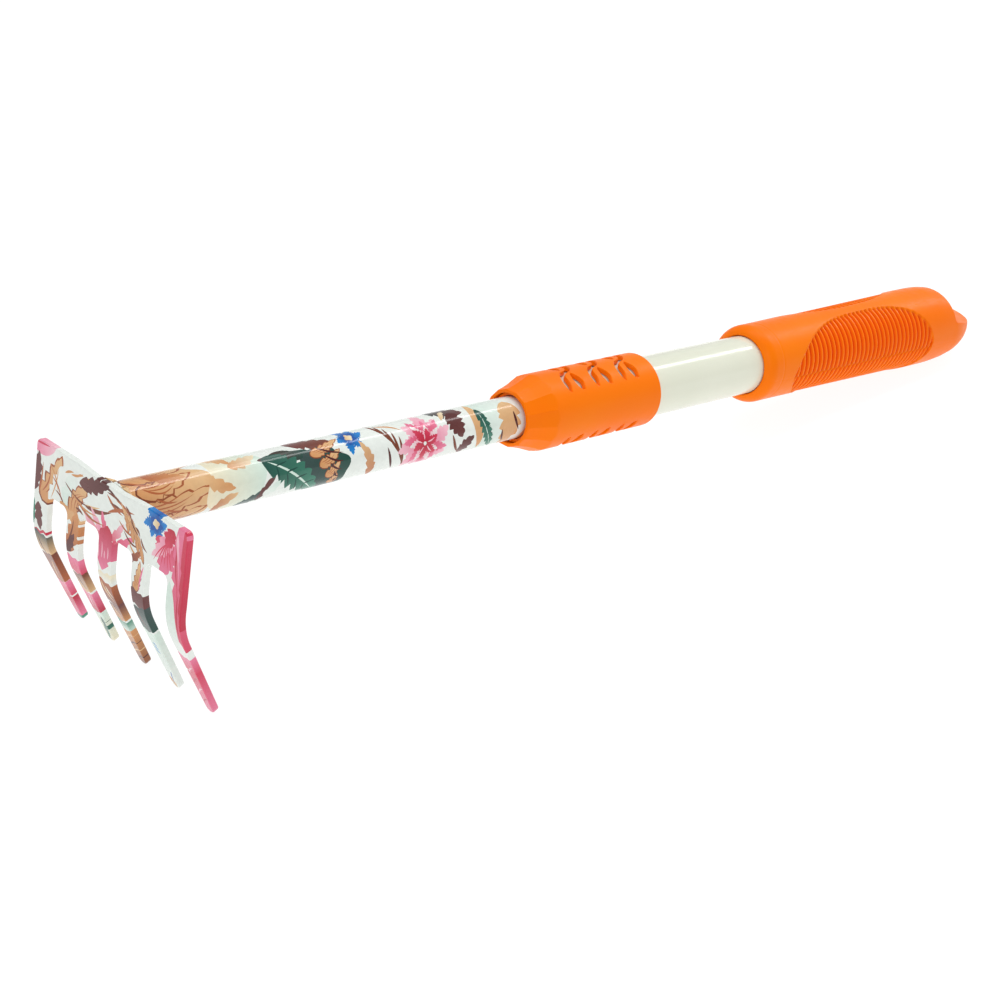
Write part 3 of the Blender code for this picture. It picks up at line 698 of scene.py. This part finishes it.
def triangulate(region, holes, shapes, grid):
    """Triangles of a flat region, each with the topmost shape that it lies in, or None."""
    points = []
    edges = []
    for loop in [region, *holes, *(shape.outline for shape in shapes)]:
        first = len(points)
        points += [Vector(point) for point in loop]
        edges += [(i, i + 1) for i in range(first, len(points) - 1)]
        edges.append((len(points) - 1, first))
    points += [Vector(point) for point in grid]
    verts, _, faces, _, _, _ = delaunay_2d_cdt(points, edges, [], 0, 1e-5)
    flat = np.array([tuple(vert) for vert in verts])
    corners = flat[np.array(faces)]
    first_side = corners[:, 1] - corners[:, 0]
    second_side = corners[:, 2] - corners[:, 0]
    area = first_side[:, 0] * second_side[:, 1] - first_side[:, 1] * second_side[:, 0]
    middles = corners.mean(axis=1)
    inside = (windings(region, middles) != 0) & (np.abs(area) > 1e-9)
    for hole in holes:
        inside &= windings(hole, middles) == 0
    owner = np.full(len(faces), -1)
    for index, shape in enumerate(shapes):
        low = np.min(shape.outline, axis=0)
        high = np.max(shape.outline, axis=0)
        near = np.flatnonzero(np.all((middles > low) & (middles < high), axis=1))
        owner[near[windings(shape.outline, middles[near]) != 0]] = index
    return verts, [
        (face, None if index < 0 else shapes[index])
        for face, index, kept in zip(faces, owner, inside)
        if kept
    ]


def colour_at(shape, point, ground):
    if shape is None:
        return (*ground, 1.0)
    run = Vector(shape.end) - Vector(shape.start)
    share = (Vector(point) - Vector(shape.start)).dot(run) / max(run.length_squared, 1e-6)
    share = min(max(share, 0), 1)
    return (*(n + (f - n) * share for n, f in zip(shape.near, shape.far)), 1.0)


def border_of(verts, faces, seam):
    """The region's edges, and the way out of the region at each of its edge points."""
    directed = {}
    for face, shape in faces:
        for a, b in zip(face, face[1:] + face[:1]):
            directed[(a, b)] = shape
    edges = []
    for (a, b), shape in directed.items():
        on_seam = seam and any(
            abs(verts[a].y - level) < 1e-4 and abs(verts[b].y - level) < 1e-4 for level in seam
        )
        if (b, a) not in directed and not on_seam:
            edges.append((a, b, shape))
    ways = {}
    for a, b, _ in edges:
        run = (verts[b] - verts[a]).normalized()
        for end in (a, b):
            ways.setdefault(end, []).append(Vector((run.y, -run.x)))
    out = {}
    for vert, found in ways.items():
        total = sum(found[1:], found[0].copy())
        reach = 1 + found[0].dot(found[1]) if len(found) == 2 else 1
        out[vert] = total / max(reach, 0.4)
    return edges, out


def sheet_solid(name, region, holes, shapes, grid, place, thickness, edge, ground, seam=None,
                back=True, exact=True):
    """A bent sheet with rounded edges. place takes a flat point and a share of the thickness.

    seam holds the two levels where a sheet that goes all the way round meets itself. Without its
    back, the sheet is a tube whose bore has long faces. exact gives the mesh normals of its own.
    """
    verts, faces = triangulate(region, holes, shapes, grid)
    edges, out = border_of(verts, faces, seam)
    turns = [radians(angle) for angle in (30, 60, 90)]
    rounding = [(edge * sin(a), edge * (1 - cos(a)) / thickness, a) for a in turns]
    layers = [(0.0, 0.0, 0.0), *rounding]
    layers += [(offset, 1 - share, pi - a) for offset, share, a in reversed(rounding)]
    layers += [(0.0, 1.0, pi)]
    mesh = bmesh.new()
    colours = mesh.loops.layers.float_color.new("print")
    normals = []
    rows = []
    tiny = 0.01

    def facing(point, share):
        """The sheet's outward side at a point, from its own slopes."""
        u, v = point
        here = Vector(place(u, v, share))
        run = (Vector(place(u + tiny, v, share)) - here).cross(Vector(place(u, v + tiny, share)) - here)
        outward = Vector(place(u, v, 0.0)) - Vector(place(u, v, 0.1))
        return run.normalized() * (1 if run.dot(outward) > 0 else -1)

    for level, (offset, share, turn) in enumerate(layers):
        row = {}
        whole = level == 0 or (back and level == len(layers) - 1)
        for i in range(len(verts)) if whole else out:
            way = out.get(i, Vector((0, 0)))
            point = verts[i] + way * offset
            row[i] = mesh.verts.new(Vector(place(point.x, point.y, share)) * MM)
            side = facing(point, share)
            if way.length > 0:
                step = Vector(place(*(point + way.normalized() * tiny), share))
                away = (step - Vector(place(*point, share))).normalized()
                side = side * cos(turn) + away * sin(turn)
            else:
                side = side * cos(turn)
            normals.append(side)
        rows.append(row)

    def face(corners, shape, points):
        if len(set(corners)) < 3:
            return
        made = mesh.faces.new(corners)
        made.smooth = True
        for loop, point in zip(made.loops, points):
            loop[colours] = colour_at(shape, point, ground)

    for corners, shape in faces:
        points = [verts[i] for i in corners]
        face([rows[0][i] for i in corners], shape, points)
        if back:
            face([rows[-1][i] for i in reversed(corners)], shape, points[::-1])
    for a, b, shape in edges:
        for upper, lower in zip(rows, rows[1:]):
            corners = [upper[b], upper[a], lower[a], lower[b]]
            face(corners, shape, [verts[b], verts[a], verts[a], verts[b]])
    if not back:
        close_bore(mesh, rows[-1], verts, colours, ground)
    data = bpy.data.meshes.new(name)
    mesh.verts.index_update()
    if not exact:
        bmesh.ops.remove_doubles(mesh, verts=mesh.verts, dist=1e-7)
    bmesh.ops.recalc_face_normals(mesh, faces=mesh.faces)
    loose = [vert for vert in mesh.verts if not vert.link_faces]
    kept_normals = [normals[vert.index] for vert in mesh.verts if vert.link_faces]
    bmesh.ops.delete(mesh, geom=loose, context="VERTS")
    mesh.to_mesh(data)
    mesh.free()
    data.transform(STANCE)
    if exact:
        turn = STANCE.to_3x3()
        data.normals_split_custom_set_from_vertices([turn @ n for n in kept_normals])
    return add_object(name, data)


def close_bore(mesh, ring, verts, colours, ground):
    """Joins the two ends of a tube's bore with long faces."""
    stations = sorted({round(verts[i].x, 3) for i in ring})
    ends = []
    for station in (stations[0], stations[-1]):
        members = sorted((verts[i].y, i) for i in ring if round(verts[i].x, 3) == station)
        ends.append([ring[i] for _, i in members])
    for first, second in zip(zip(ends[0], ends[0][1:]), zip(ends[1], ends[1][1:])):
        made = mesh.faces.new([first[0], first[1], second[1], second[0]])
        for loop in made.loops:
            loop[colours] = (*ground, 1.0)


def add_object(name, data):
    thing = bpy.data.objects.new(name, data)
    bpy.context.scene.collection.objects.link(thing)
    return thing


def dress(thing, material, node, body):
    thing.data.materials.append(material)
    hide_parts(node)
    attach(thing, body)
    return thing


def arc(centre, radius, start, end, steps):
    angles = [start + (end - start) * i / steps for i in range(steps + 1)]
    return [(centre[0] + radius * cos(a), centre[1] + radius * sin(a)) for a in angles]


def finer(loop, spacing):
    """The same closed outline with more points along its long straights."""
    points = []
    for here, after in zip(loop, loop[1:] + loop[:1]):
        steps = max(1, round(dist(here, after) / spacing))
        points += [
            (here[0] + (after[0] - here[0]) * i / steps, here[1] + (after[1] - here[1]) * i / steps)
            for i in range(steps)
        ]
    return points


def lattice(u_low, u_high, v_low, v_high, columns, rows):
    return [
        (u_low + (u_high - u_low) * i / columns, v_low + (v_high - v_low) * j / rows)
        for i in range(columns + 1)
        for j in range(rows + 1)
    ]


# Head.


def slot_top(outer, inner):
    level = SLOT_START + SLOT_CORNER
    right = arc((outer - SLOT_CORNER, level), SLOT_CORNER, 0, -pi / 2, 6)
    left = arc((inner + SLOT_CORNER, level), SLOT_CORNER, -pi / 2, -pi, 6)
    return right + left


def blank_outline():
    """The head's flat blank as (Y, distance below the top edge)."""
    radius = TIP_WIDTH / 2
    level = BLANK_LENGTH - radius
    points = [(across, share * HEAD_DIP) for across, share in HEAD_DIP_PROFILE]
    points += arc((HEAD_HALF_WIDTH - HEAD_CORNER, HEAD_CORNER), HEAD_CORNER, -pi / 2, 0, 6)
    slot_side = None
    for root_centre, root_width, tip_centre in reversed(SIDE_TINES):
        outer_root = root_centre + root_width / 2
        inner_root = root_centre - root_width / 2
        if slot_side is not None:
            points += slot_top(slot_side, outer_root)
        points.append((outer_root, TAPER_START))
        points += arc((tip_centre, level), radius, 0, pi, 8)
        points.append((inner_root, TAPER_START))
        slot_side = inner_root
    points += slot_top(slot_side, MIDDLE_TINE_WIDTH / 2)
    points.append((MIDDLE_TINE_WIDTH / 2, TAPER_START))
    points += arc((0, level), radius, 0, pi, 8)[:5]
    return points + [(-y, down) for y, down in reversed(points[1:-1])]


def on_head(across, down, share):
    """Where a point of the blank goes once the tines are bent back."""
    depth = share * SHEET
    turn = min(max(down - BEND_START, 0) / BEND_RADIUS, BEND_ANGLE)
    beyond = max(down - BEND_START - BEND_RADIUS * BEND_ANGLE, 0)
    straight = min(down, BEND_START)
    back = BEND_RADIUS * (1 - cos(turn)) + beyond * sin(turn) + depth * cos(turn)
    drop = straight + BEND_RADIUS * sin(turn) + beyond * cos(turn)
    return back, across, HEAD_TOP - drop + depth * sin(turn)


def make_head(material):
    outline = inset(finer(blank_outline(), 1.0), SHEET_EDGE)
    grid = lattice(-HEAD_HALF_WIDTH, HEAD_HALF_WIDTH, 0, BLANK_LENGTH, 54, 50)
    head = sheet_solid(
        "printed_head", outline, [], head_print(), grid, on_head, SHEET, SHEET_EDGE, IVORY
    )
    return dress(head, material, "rake_head", "rake")


# Shaft.

TUBE_SEAM = (-0.5 * pi * TUBE_R, 1.5 * pi * TUBE_R)


def on_tube(station, around, share):
    radius = TUBE_R - share * TUBE_WALL
    angle = around / TUBE_R
    return station, -radius * cos(angle), radius * sin(angle)


def make_tube(material):
    edge = 0.2
    low, high = TUBE_SEAM
    start = TUBE_START + edge
    end = TUBE_END - edge
    columns = 72
    lines = [low + (high - low) * j / columns for j in range(columns + 1)]
    region = [(start, v) for v in lines] + [(end, v) for v in reversed(lines)]
    stations = 110
    grid = lattice(start, end, low, high, stations, columns)
    shapes = tube_print(low, high)
    tube = sheet_solid(
        "printed_tube", region, [], shapes, grid, on_tube, TUBE_WALL, edge, IVORY,
        seam=TUBE_SEAM, back=False,
    )
    return dress(tube, material, "inner_tube", "rake")


def join_rings(mesh, rings):
    for first, second in zip(rings, rings[1:]):
        for i, vert in enumerate(first):
            j = (i + 1) % len(first)
            mesh.faces.new([vert, first[j], second[j], second[i]]).smooth = True


def finished(name, mesh):
    """The object that a mesh becomes, with all its faces turned outwards."""
    bmesh.ops.recalc_face_normals(mesh, faces=mesh.faces)
    data = bpy.data.meshes.new(name)
    mesh.to_mesh(data)
    mesh.free()
    return add_object(name, data)


def turned_solid(name, profile, steps):
    """A turned piece, drawn in millimetres."""
    mesh = bmesh.new()
    rings = []
    for station, radius in profile:
        ring = []
        for i in range(steps):
            angle = 2 * pi * i / steps
            place = Vector((station, -radius * cos(angle), radius * sin(angle)))
            ring.append(mesh.verts.new(STANCE @ (place * MM)))
        rings.append(ring)
    join_rings(mesh, rings + rings[:1])
    turned = finished(name, mesh)
    turned.data.set_sharp_from_angle(angle=TURNED_SHARP)
    return turned


def make_outer_tube(material):
    bore = OUTER_R - 1.0
    lip = 0.3
    profile = [
        (OUTER_START + lip, OUTER_R), (OUTER_END - lip, OUTER_R), (OUTER_END, OUTER_R - lip),
        (OUTER_END, bore), (OUTER_START, bore), (OUTER_START, OUTER_R - lip),
    ]
    tube = turned_solid("cream_tube", profile, 128)
    return dress(tube, material, "outer_tube", "handle")


# Collar.


def collar_outside(station, angle):
    """The outer radius. A corner between two facets lies at the near side."""
    offset = angle % FACET - FACET / 2
    stations, radii = zip(*FACET_SWEEP)
    flat = float(np.interp(station, stations, radii))
    mouth = MOUTH_OUTER_R + station - COLLAR_START
    return min(COLLAR_R, mouth, flat / cos(offset)) if station < stations[-1] else COLLAR_R


def collar_inside(station):
    if station < CONE_START:
        share = max(0, (station - COLLAR_START) / (CONE_START - COLLAR_START))
        return MOUTH_R + (FINGER_TIP_R - MOUTH_R) * share
    if station < CONE_END:
        share = (station - CONE_START) / (CONE_END - CONE_START)
        return FINGER_TIP_R + (FINGER_ROOT_R - FINGER_TIP_R) * share
    return THREAD_R if station < RECESS_END else SKIRT_BORE


def on_collar(station, around, share):
    angle = around / COLLAR_R
    radius = collar_outside(station, angle)
    radius += (collar_inside(station) - radius) * share
    return station, -radius * cos(angle), radius * sin(angle)


def smooth_spine(spine):
    """A finer spine, on a smooth curve through all the points of the given one."""
    steps = 4
    points = [np.array(point) for point in spine]
    points = [2 * points[0] - points[1], *points, 2 * points[-1] - points[-2]]
    found = []
    for before, here, after, beyond in zip(points, points[1:], points[2:], points[3:]):
        for i in range(steps):
            t = i / steps
            found.append(0.5 * (
                2 * here + (after - before) * t
                + (2 * before - 5 * here + 4 * after - beyond) * t**2
                + (3 * here - before - 3 * after + beyond) * t**3
            ))
    return [*found, points[-2]]


def ribbon(spine):
    """The outline of a strip whose spine holds (along, round, half the width), end to end."""
    points = smooth_spine(spine)
    right = []
    left = []
    for before, here, after in zip([points[0], *points], points, [*points[1:], points[-1]]):
        way = Vector(after[:2] - before[:2]).normalized()
        side = Vector((way.y, -way.x)) * max(here[2], 0.2)
        right.append(Vector(here[:2]) + side)
        left.append(Vector(here[:2]) - side)
    return right + left[::-1]


def collar_holes():
    """The windows' outlines on the flat wall, moved out by the width of their rounded edges."""
    other_arm = [(-along, -around, half) for along, around, half in reversed(SLOT_ARM)]
    leaf_outline = ribbon(SIDE_LEAF)
    group = (
        ribbon([*SLOT_ARM, (0, 0, SLOT_WAIST), *other_arm]), leaf_outline, [-p for p in leaf_outline]
    )
    holes = []
    for middle, way in WINDOW_BANDS:
        level = radians(middle) * COLLAR_R
        for number in range(WINDOW_GROUPS):
            station = WINDOW_FIRST + WINDOW_PITCH * number
            for outline in group:
                hole = [(station + point.x, level + way * point.y) for point in outline]
                holes.append(inset(hole, -COLLAR_EDGE))
    return holes


def make_collar(material):
    turn = 2 * pi * COLLAR_R
    low = radians(COLLAR_SEAM) * COLLAR_R
    high = low + turn
    start = COLLAR_START + COLLAR_EDGE
    end = COLLAR_END - COLLAR_EDGE
    column = turn / COLLAR_FACETS / FACET_COLUMNS
    inner = [column * j for j in range(ceil(low / column), ceil(high / column))]
    lines = [low, *(v for v in inner if v - low > 0.1 and high - v > 0.1), high]
    region = [(start, v) for v in lines] + [(end, v) for v in reversed(lines)]
    stations = [start + 0.7 * i for i in range(26)]
    stations += [200 + 1.1 * i for i in range(50) if 200 + 1.1 * i < end]
    grid = [(u, v) for u in [*stations, end] for v in lines]
    collar = sheet_solid(
        "twist_collar", region, collar_holes(), [], grid, on_collar, COLLAR_R - SKIRT_BORE,
        COLLAR_EDGE, IVORY, seam=(low, high), exact=False,
    )
    collar.data.set_sharp_from_angle(angle=COLLAR_SHARP)
    return dress(collar, material, "lock_collar", "collar")


# Grip.


def domed(station, dome):
    """Share of the full size that a domed end keeps at a station."""
    start, power = dome
    share = min(max((station - start) / (GRIP_END - start), 0), 1)
    return (1 - share**power) ** (1 / power)


def grip_radius(station):
    """The grip's plain outer radius, without its ribs and its dome."""
    drop = GRIP_START + LIP_R - station
    if drop > 0:
        return GRIP_FRONT_R - LIP_R + sqrt(max(0, LIP_R**2 - drop**2))
    share = min(max((station - FLARE_START) / (FLARE_END - FLARE_START), 0), 1)
    return GRIP_FRONT_R + (GRIP_R - GRIP_FRONT_R) * share


def eased(share):
    share = min(max(share, 0.0), 1.0)
    return share * share * (3 - 2 * share)


def rib_reach(station):
    """The degrees that the ribbed field reaches from the parting line, or -1 beyond its ends."""
    start, end = RIB_FIELD
    share = (2 * station - start - end) / (end - start)
    fullness = RIB_FIELD_ENDS[share >= 0]
    if abs(share) >= 1:
        return -1.0
    return RIB_REACH * (1 - abs(share) ** fullness) ** RIB_FIELD_ARCH


def rib_relief(station, angle):
    """The depth of the ribs' grooves and of the field that they lie in."""
    height = (degrees(angle) % 360 + 90) % 180 - 90
    reach = rib_reach(station)
    if reach < 0:
        return 0.0
    inside = eased((reach - abs(height)) / RIB_FIELD_EDGE)
    phase = (station - RIB_FIRST) / RIB_PITCH
    if height < 0:
        phase += RIB_OFFSET * eased(-height / 4.0)
    wave = eased(0.5 - 0.56 * cos(2 * pi * phase))
    return inside * (RIB_CREST + RIB_GROOVE * (1 - wave))


def mould_lines(station, angle):
    """The fine ring near the front and the mould's parting line along both sides."""
    ring = -RING_DEPTH * exp(-(((station - RING_LINE) / RING_SPREAD) ** 2))
    off = sin(angle) * GRIP_R
    if rib_reach(station) >= 0 or abs(off) >= 2:
        return ring
    return ring - PARTING_DEPTH * exp(-((off / PARTING_SPREAD) ** 2))


def tab_height(station):
    """Half the height that the scoops leave standing at a station past their start."""
    past = station - SCOOP_START
    corner = SCOOP_CORNER
    share = max(past - corner, 0) / (GRIP_END - SCOOP_START - corner)
    height = TAB_ROOT + (TAB_TIP - TAB_ROOT) * share
    if past < corner:
        height += corner - sqrt(corner**2 - (corner - past) ** 2)
    return height


def grip_stations():
    """The stations of the grip's rings, before the scoops and past their start."""
    lip = [GRIP_START + LIP_R * (1 - sin(LIP_ANGLE * i / 8)) for i in range(8, -1, -1)]
    body = [GRIP_START + LIP_R + 0.4 * i for i in range(1, 321)]
    body = [s for s in body if s < DOME_BESIDE[0] - 0.2]
    dome = [DOME_BESIDE[0] + (SCOOP_START - DOME_BESIDE[0]) * i / 14 for i in range(15)]
    scooped = [SCOOP_START + SCOOP_CORNER * (1 - cos(pi / 2 * i / 8)) for i in range(9)]
    start = SCOOP_START + SCOOP_CORNER
    turns = [pi / 2 * i / 30 for i in range(1, 30)]
    scooped += [start + (GRIP_END - start) * sin(turn) for turn in turns]
    return lip + body + dome, scooped


def make_grip(material):
    steps = 256
    place = STANCE @ Matrix.Rotation(GRIP_TURN, 4, "X")
    plain, scooped = grip_stations()
    mesh = bmesh.new()
    # Painted shade for the grooves between the ribs, held in the mesh's colours.
    painted_groove_shade = mesh.verts.layers.float_color.new("painted_groove_shade")

    def ring(station, radius, limit=None, outside=True):
        made = []
        for i in range(steps):
            angle = 2 * pi * i / steps
            depth = 0.0
            if outside:
                depth = rib_relief(station, angle) - mould_lines(station, angle)
            width = (radius - depth) * (domed(station, DOME_ABOVE) if outside else 1)
            height = (radius - depth) * (domed(station, DOME_BESIDE) if outside else 1)
            y = -width * cos(angle)
            z = height * sin(angle)
            if limit is not None:
                z = max(-limit, min(limit, z))
            vert = mesh.verts.new(place @ (Vector((station, y, z)) * MM))
            # Painted shade: the deeper a groove, the darker its colour.
            painted_shade = eased((depth - RIB_CREST) / RIB_GROOVE)
            vert[painted_groove_shade] = (painted_shade, painted_shade, painted_shade, 1)
            made.append(vert)
        return made

    flare = plain[0] + BORE_CHAMFER
    rings = [ring(GRIP_BLIND_END, GRIP_BORE, outside=False), ring(flare, GRIP_BORE, outside=False)]
    rings.append(ring(plain[0], GRIP_BORE + BORE_CHAMFER, outside=False))
    rings += [ring(s, grip_radius(s)) for s in plain]
    rings += [ring(s, grip_radius(s), tab_height(s)) for s in scooped]
    join_rings(mesh, rings)
    mesh.faces.new(rings[0][::-1])
    mesh.faces.new(rings[-1])
    grip = finished("ribbed_grip", mesh)
    drill_hang_hole(grip)
    grip.data.set_sharp_from_angle(angle=GRIP_SHARP)
    return dress(grip, material, "grip", "handle")


def drill_hang_hole(grip):
    data = bpy.data.meshes.new("hang_hole")
    shape = bmesh.new()
    bmesh.ops.create_cone(
        shape, cap_ends=True, segments=48, radius1=HANG_HOLE_R * MM, radius2=HANG_HOLE_R * MM,
        depth=4 * TAB_ROOT * MM,
    )
    shape.to_mesh(data)
    shape.free()
    upright = Matrix.Rotation(GRIP_TURN, 4, "X") @ Matrix.Translation((HANG_HOLE * MM, 0, 0))
    data.transform(STANCE @ upright)
    drill = add_object("hang_hole", data)
    cut = grip.modifiers.new("hang_hole", "BOOLEAN")
    cut.operation = "DIFFERENCE"
    cut.solver = "EXACT"
    cut.object = drill
    depsgraph = bpy.context.evaluated_depsgraph_get()
    finished = bpy.data.meshes.new_from_object(grip.evaluated_get(depsgraph))
    grip.modifiers.clear()
    grip.data = finished
    bpy.data.objects.remove(drill, do_unlink=True)


def make_weld(material):
    """The fillet round the tube behind the plate, in one of the print's colours."""
    back = SHEET + 0.3
    inner = TUBE_R + 0.3
    leg = 1.7
    profile = [
        (back + leg, inner + 0.2), (back + 0.8 * leg, inner + 0.5 * leg * 0.6),
        (back + 0.55 * leg, inner + 0.52 * leg), (back + 0.25 * leg, inner + 0.8 * leg),
        (back, inner + leg), (back, inner), (back + leg, inner),
    ]
    weld = turned_solid("weld_fillet", profile, 192)
    level = (HEAD_TOP - HEAD_DIP) * MM
    for vert in weld.data.vertices:
        local = STANCE.inverted() @ vert.co
        if local.z > level:
            local.z = level
            vert.co = STANCE @ local
    layer = weld.data.color_attributes.new("print", "FLOAT_COLOR", "CORNER")
    for item in layer.data:
        item.color = (*SAND, 1.0)
    return dress(weld, material, "weld_bead", "rake")


# Stage.


def make_floor():
    data = bpy.data.meshes.new("floor")
    half = 80.0
    data.from_pydata(
        [(-half, -half, 0), (half, -half, 0), (half, half, 0), (-half, half, 0)], [], [(0, 1, 2, 3)]
    )
    floor = add_object("floor", data)
    material, tree, shader = new_material("floor", 0.9, specular=0.0)
    two_tone(tree, shader, noise(tree, 3), (0.16, 0.16, 0.16), (0.18, 0.18, 0.18))
    shader.inputs["Emission Color"].default_value = (1.0, 1.0, 1.0, 1.0)
    shader.inputs["Emission Strength"].default_value = 0.92
    data.materials.append(material)


def make_light(name, place, target, size, power):
    data = bpy.data.lights.new(name, "AREA")
    data.shape = "RECTANGLE"
    data.size = size[0]
    data.size_y = size[1]
    data.energy = power
    lamp = add_object(name, data)
    lamp.location = place
    lamp.rotation_euler = (Vector(target) - Vector(place)).to_track_quat("-Z", "Y").to_euler()


def make_studio():
    world = bpy.data.worlds.new("studio")
    world.use_nodes = True
    backdrop = world.node_tree.nodes["Background"]
    backdrop.inputs["Color"].default_value = (1.0, 1.0, 1.0, 1.0)
    backdrop.inputs["Strength"].default_value = 0.52
    bpy.context.scene.world = world
    make_light("overhead", (0.05, 0.25, 1.0), (0, 0, 0.03), (1.3, 0.5), 4.6)
    make_light("strip", (0.99, 0.0, 0.95), (-0.05, 0, 0.04), (0.16, 1.4), 4.4)
    make_light("front", (-0.9, -0.9, 0.7), (0, 0, 0.03), (0.8, 0.8), 3.6)
    make_floor()


def make_camera():
    """The camera, placed in the tool's frame in millimetres."""
    place = Vector((-342.2, -459.2, 266.8))
    forward = Vector((0.69273, 0.60256, -0.39629)).normalized()
    down = Vector((-0.18758, -0.38004, -0.90575))
    up = -(down - forward * down.dot(forward)).normalized()
    right = forward.cross(up)
    turn = Matrix((right, up, -forward)).transposed().to_4x4()
    data = bpy.data.cameras.new("camera")
    data.lens = 70.52
    data.sensor_width = 36.0
    data.clip_start = 0.01
    camera = add_object("camera", data)
    camera.matrix_world = STANCE @ Matrix.Translation(place * MM) @ turn
    bpy.context.scene.camera = camera


def carry_over(nodes, material):
    for name in nodes:
        node = frame["nodes"][name]
        node.data.materials.clear()
        node.data.materials.append(material)


make_camera()
make_studio()
printed = printed_material()
orange = orange_material("orange_plastic")
make_head(printed)
make_tube(printed)
make_weld(printed)
make_outer_tube(cream_material())
make_collar(orange)
# The grip's material paints shade into the grooves between its ribs.
make_grip(orange_material("orange_grip", shaded_grooves=True))
carry_over(("lock_collet",), orange)
carry_over(("tail_plug", "tail_bush"), nylon_material())
carry_over(("collet_pin_near", "collet_pin_far"), steel_material())
bpy.context.scene.view_settings.view_transform = "Standard"
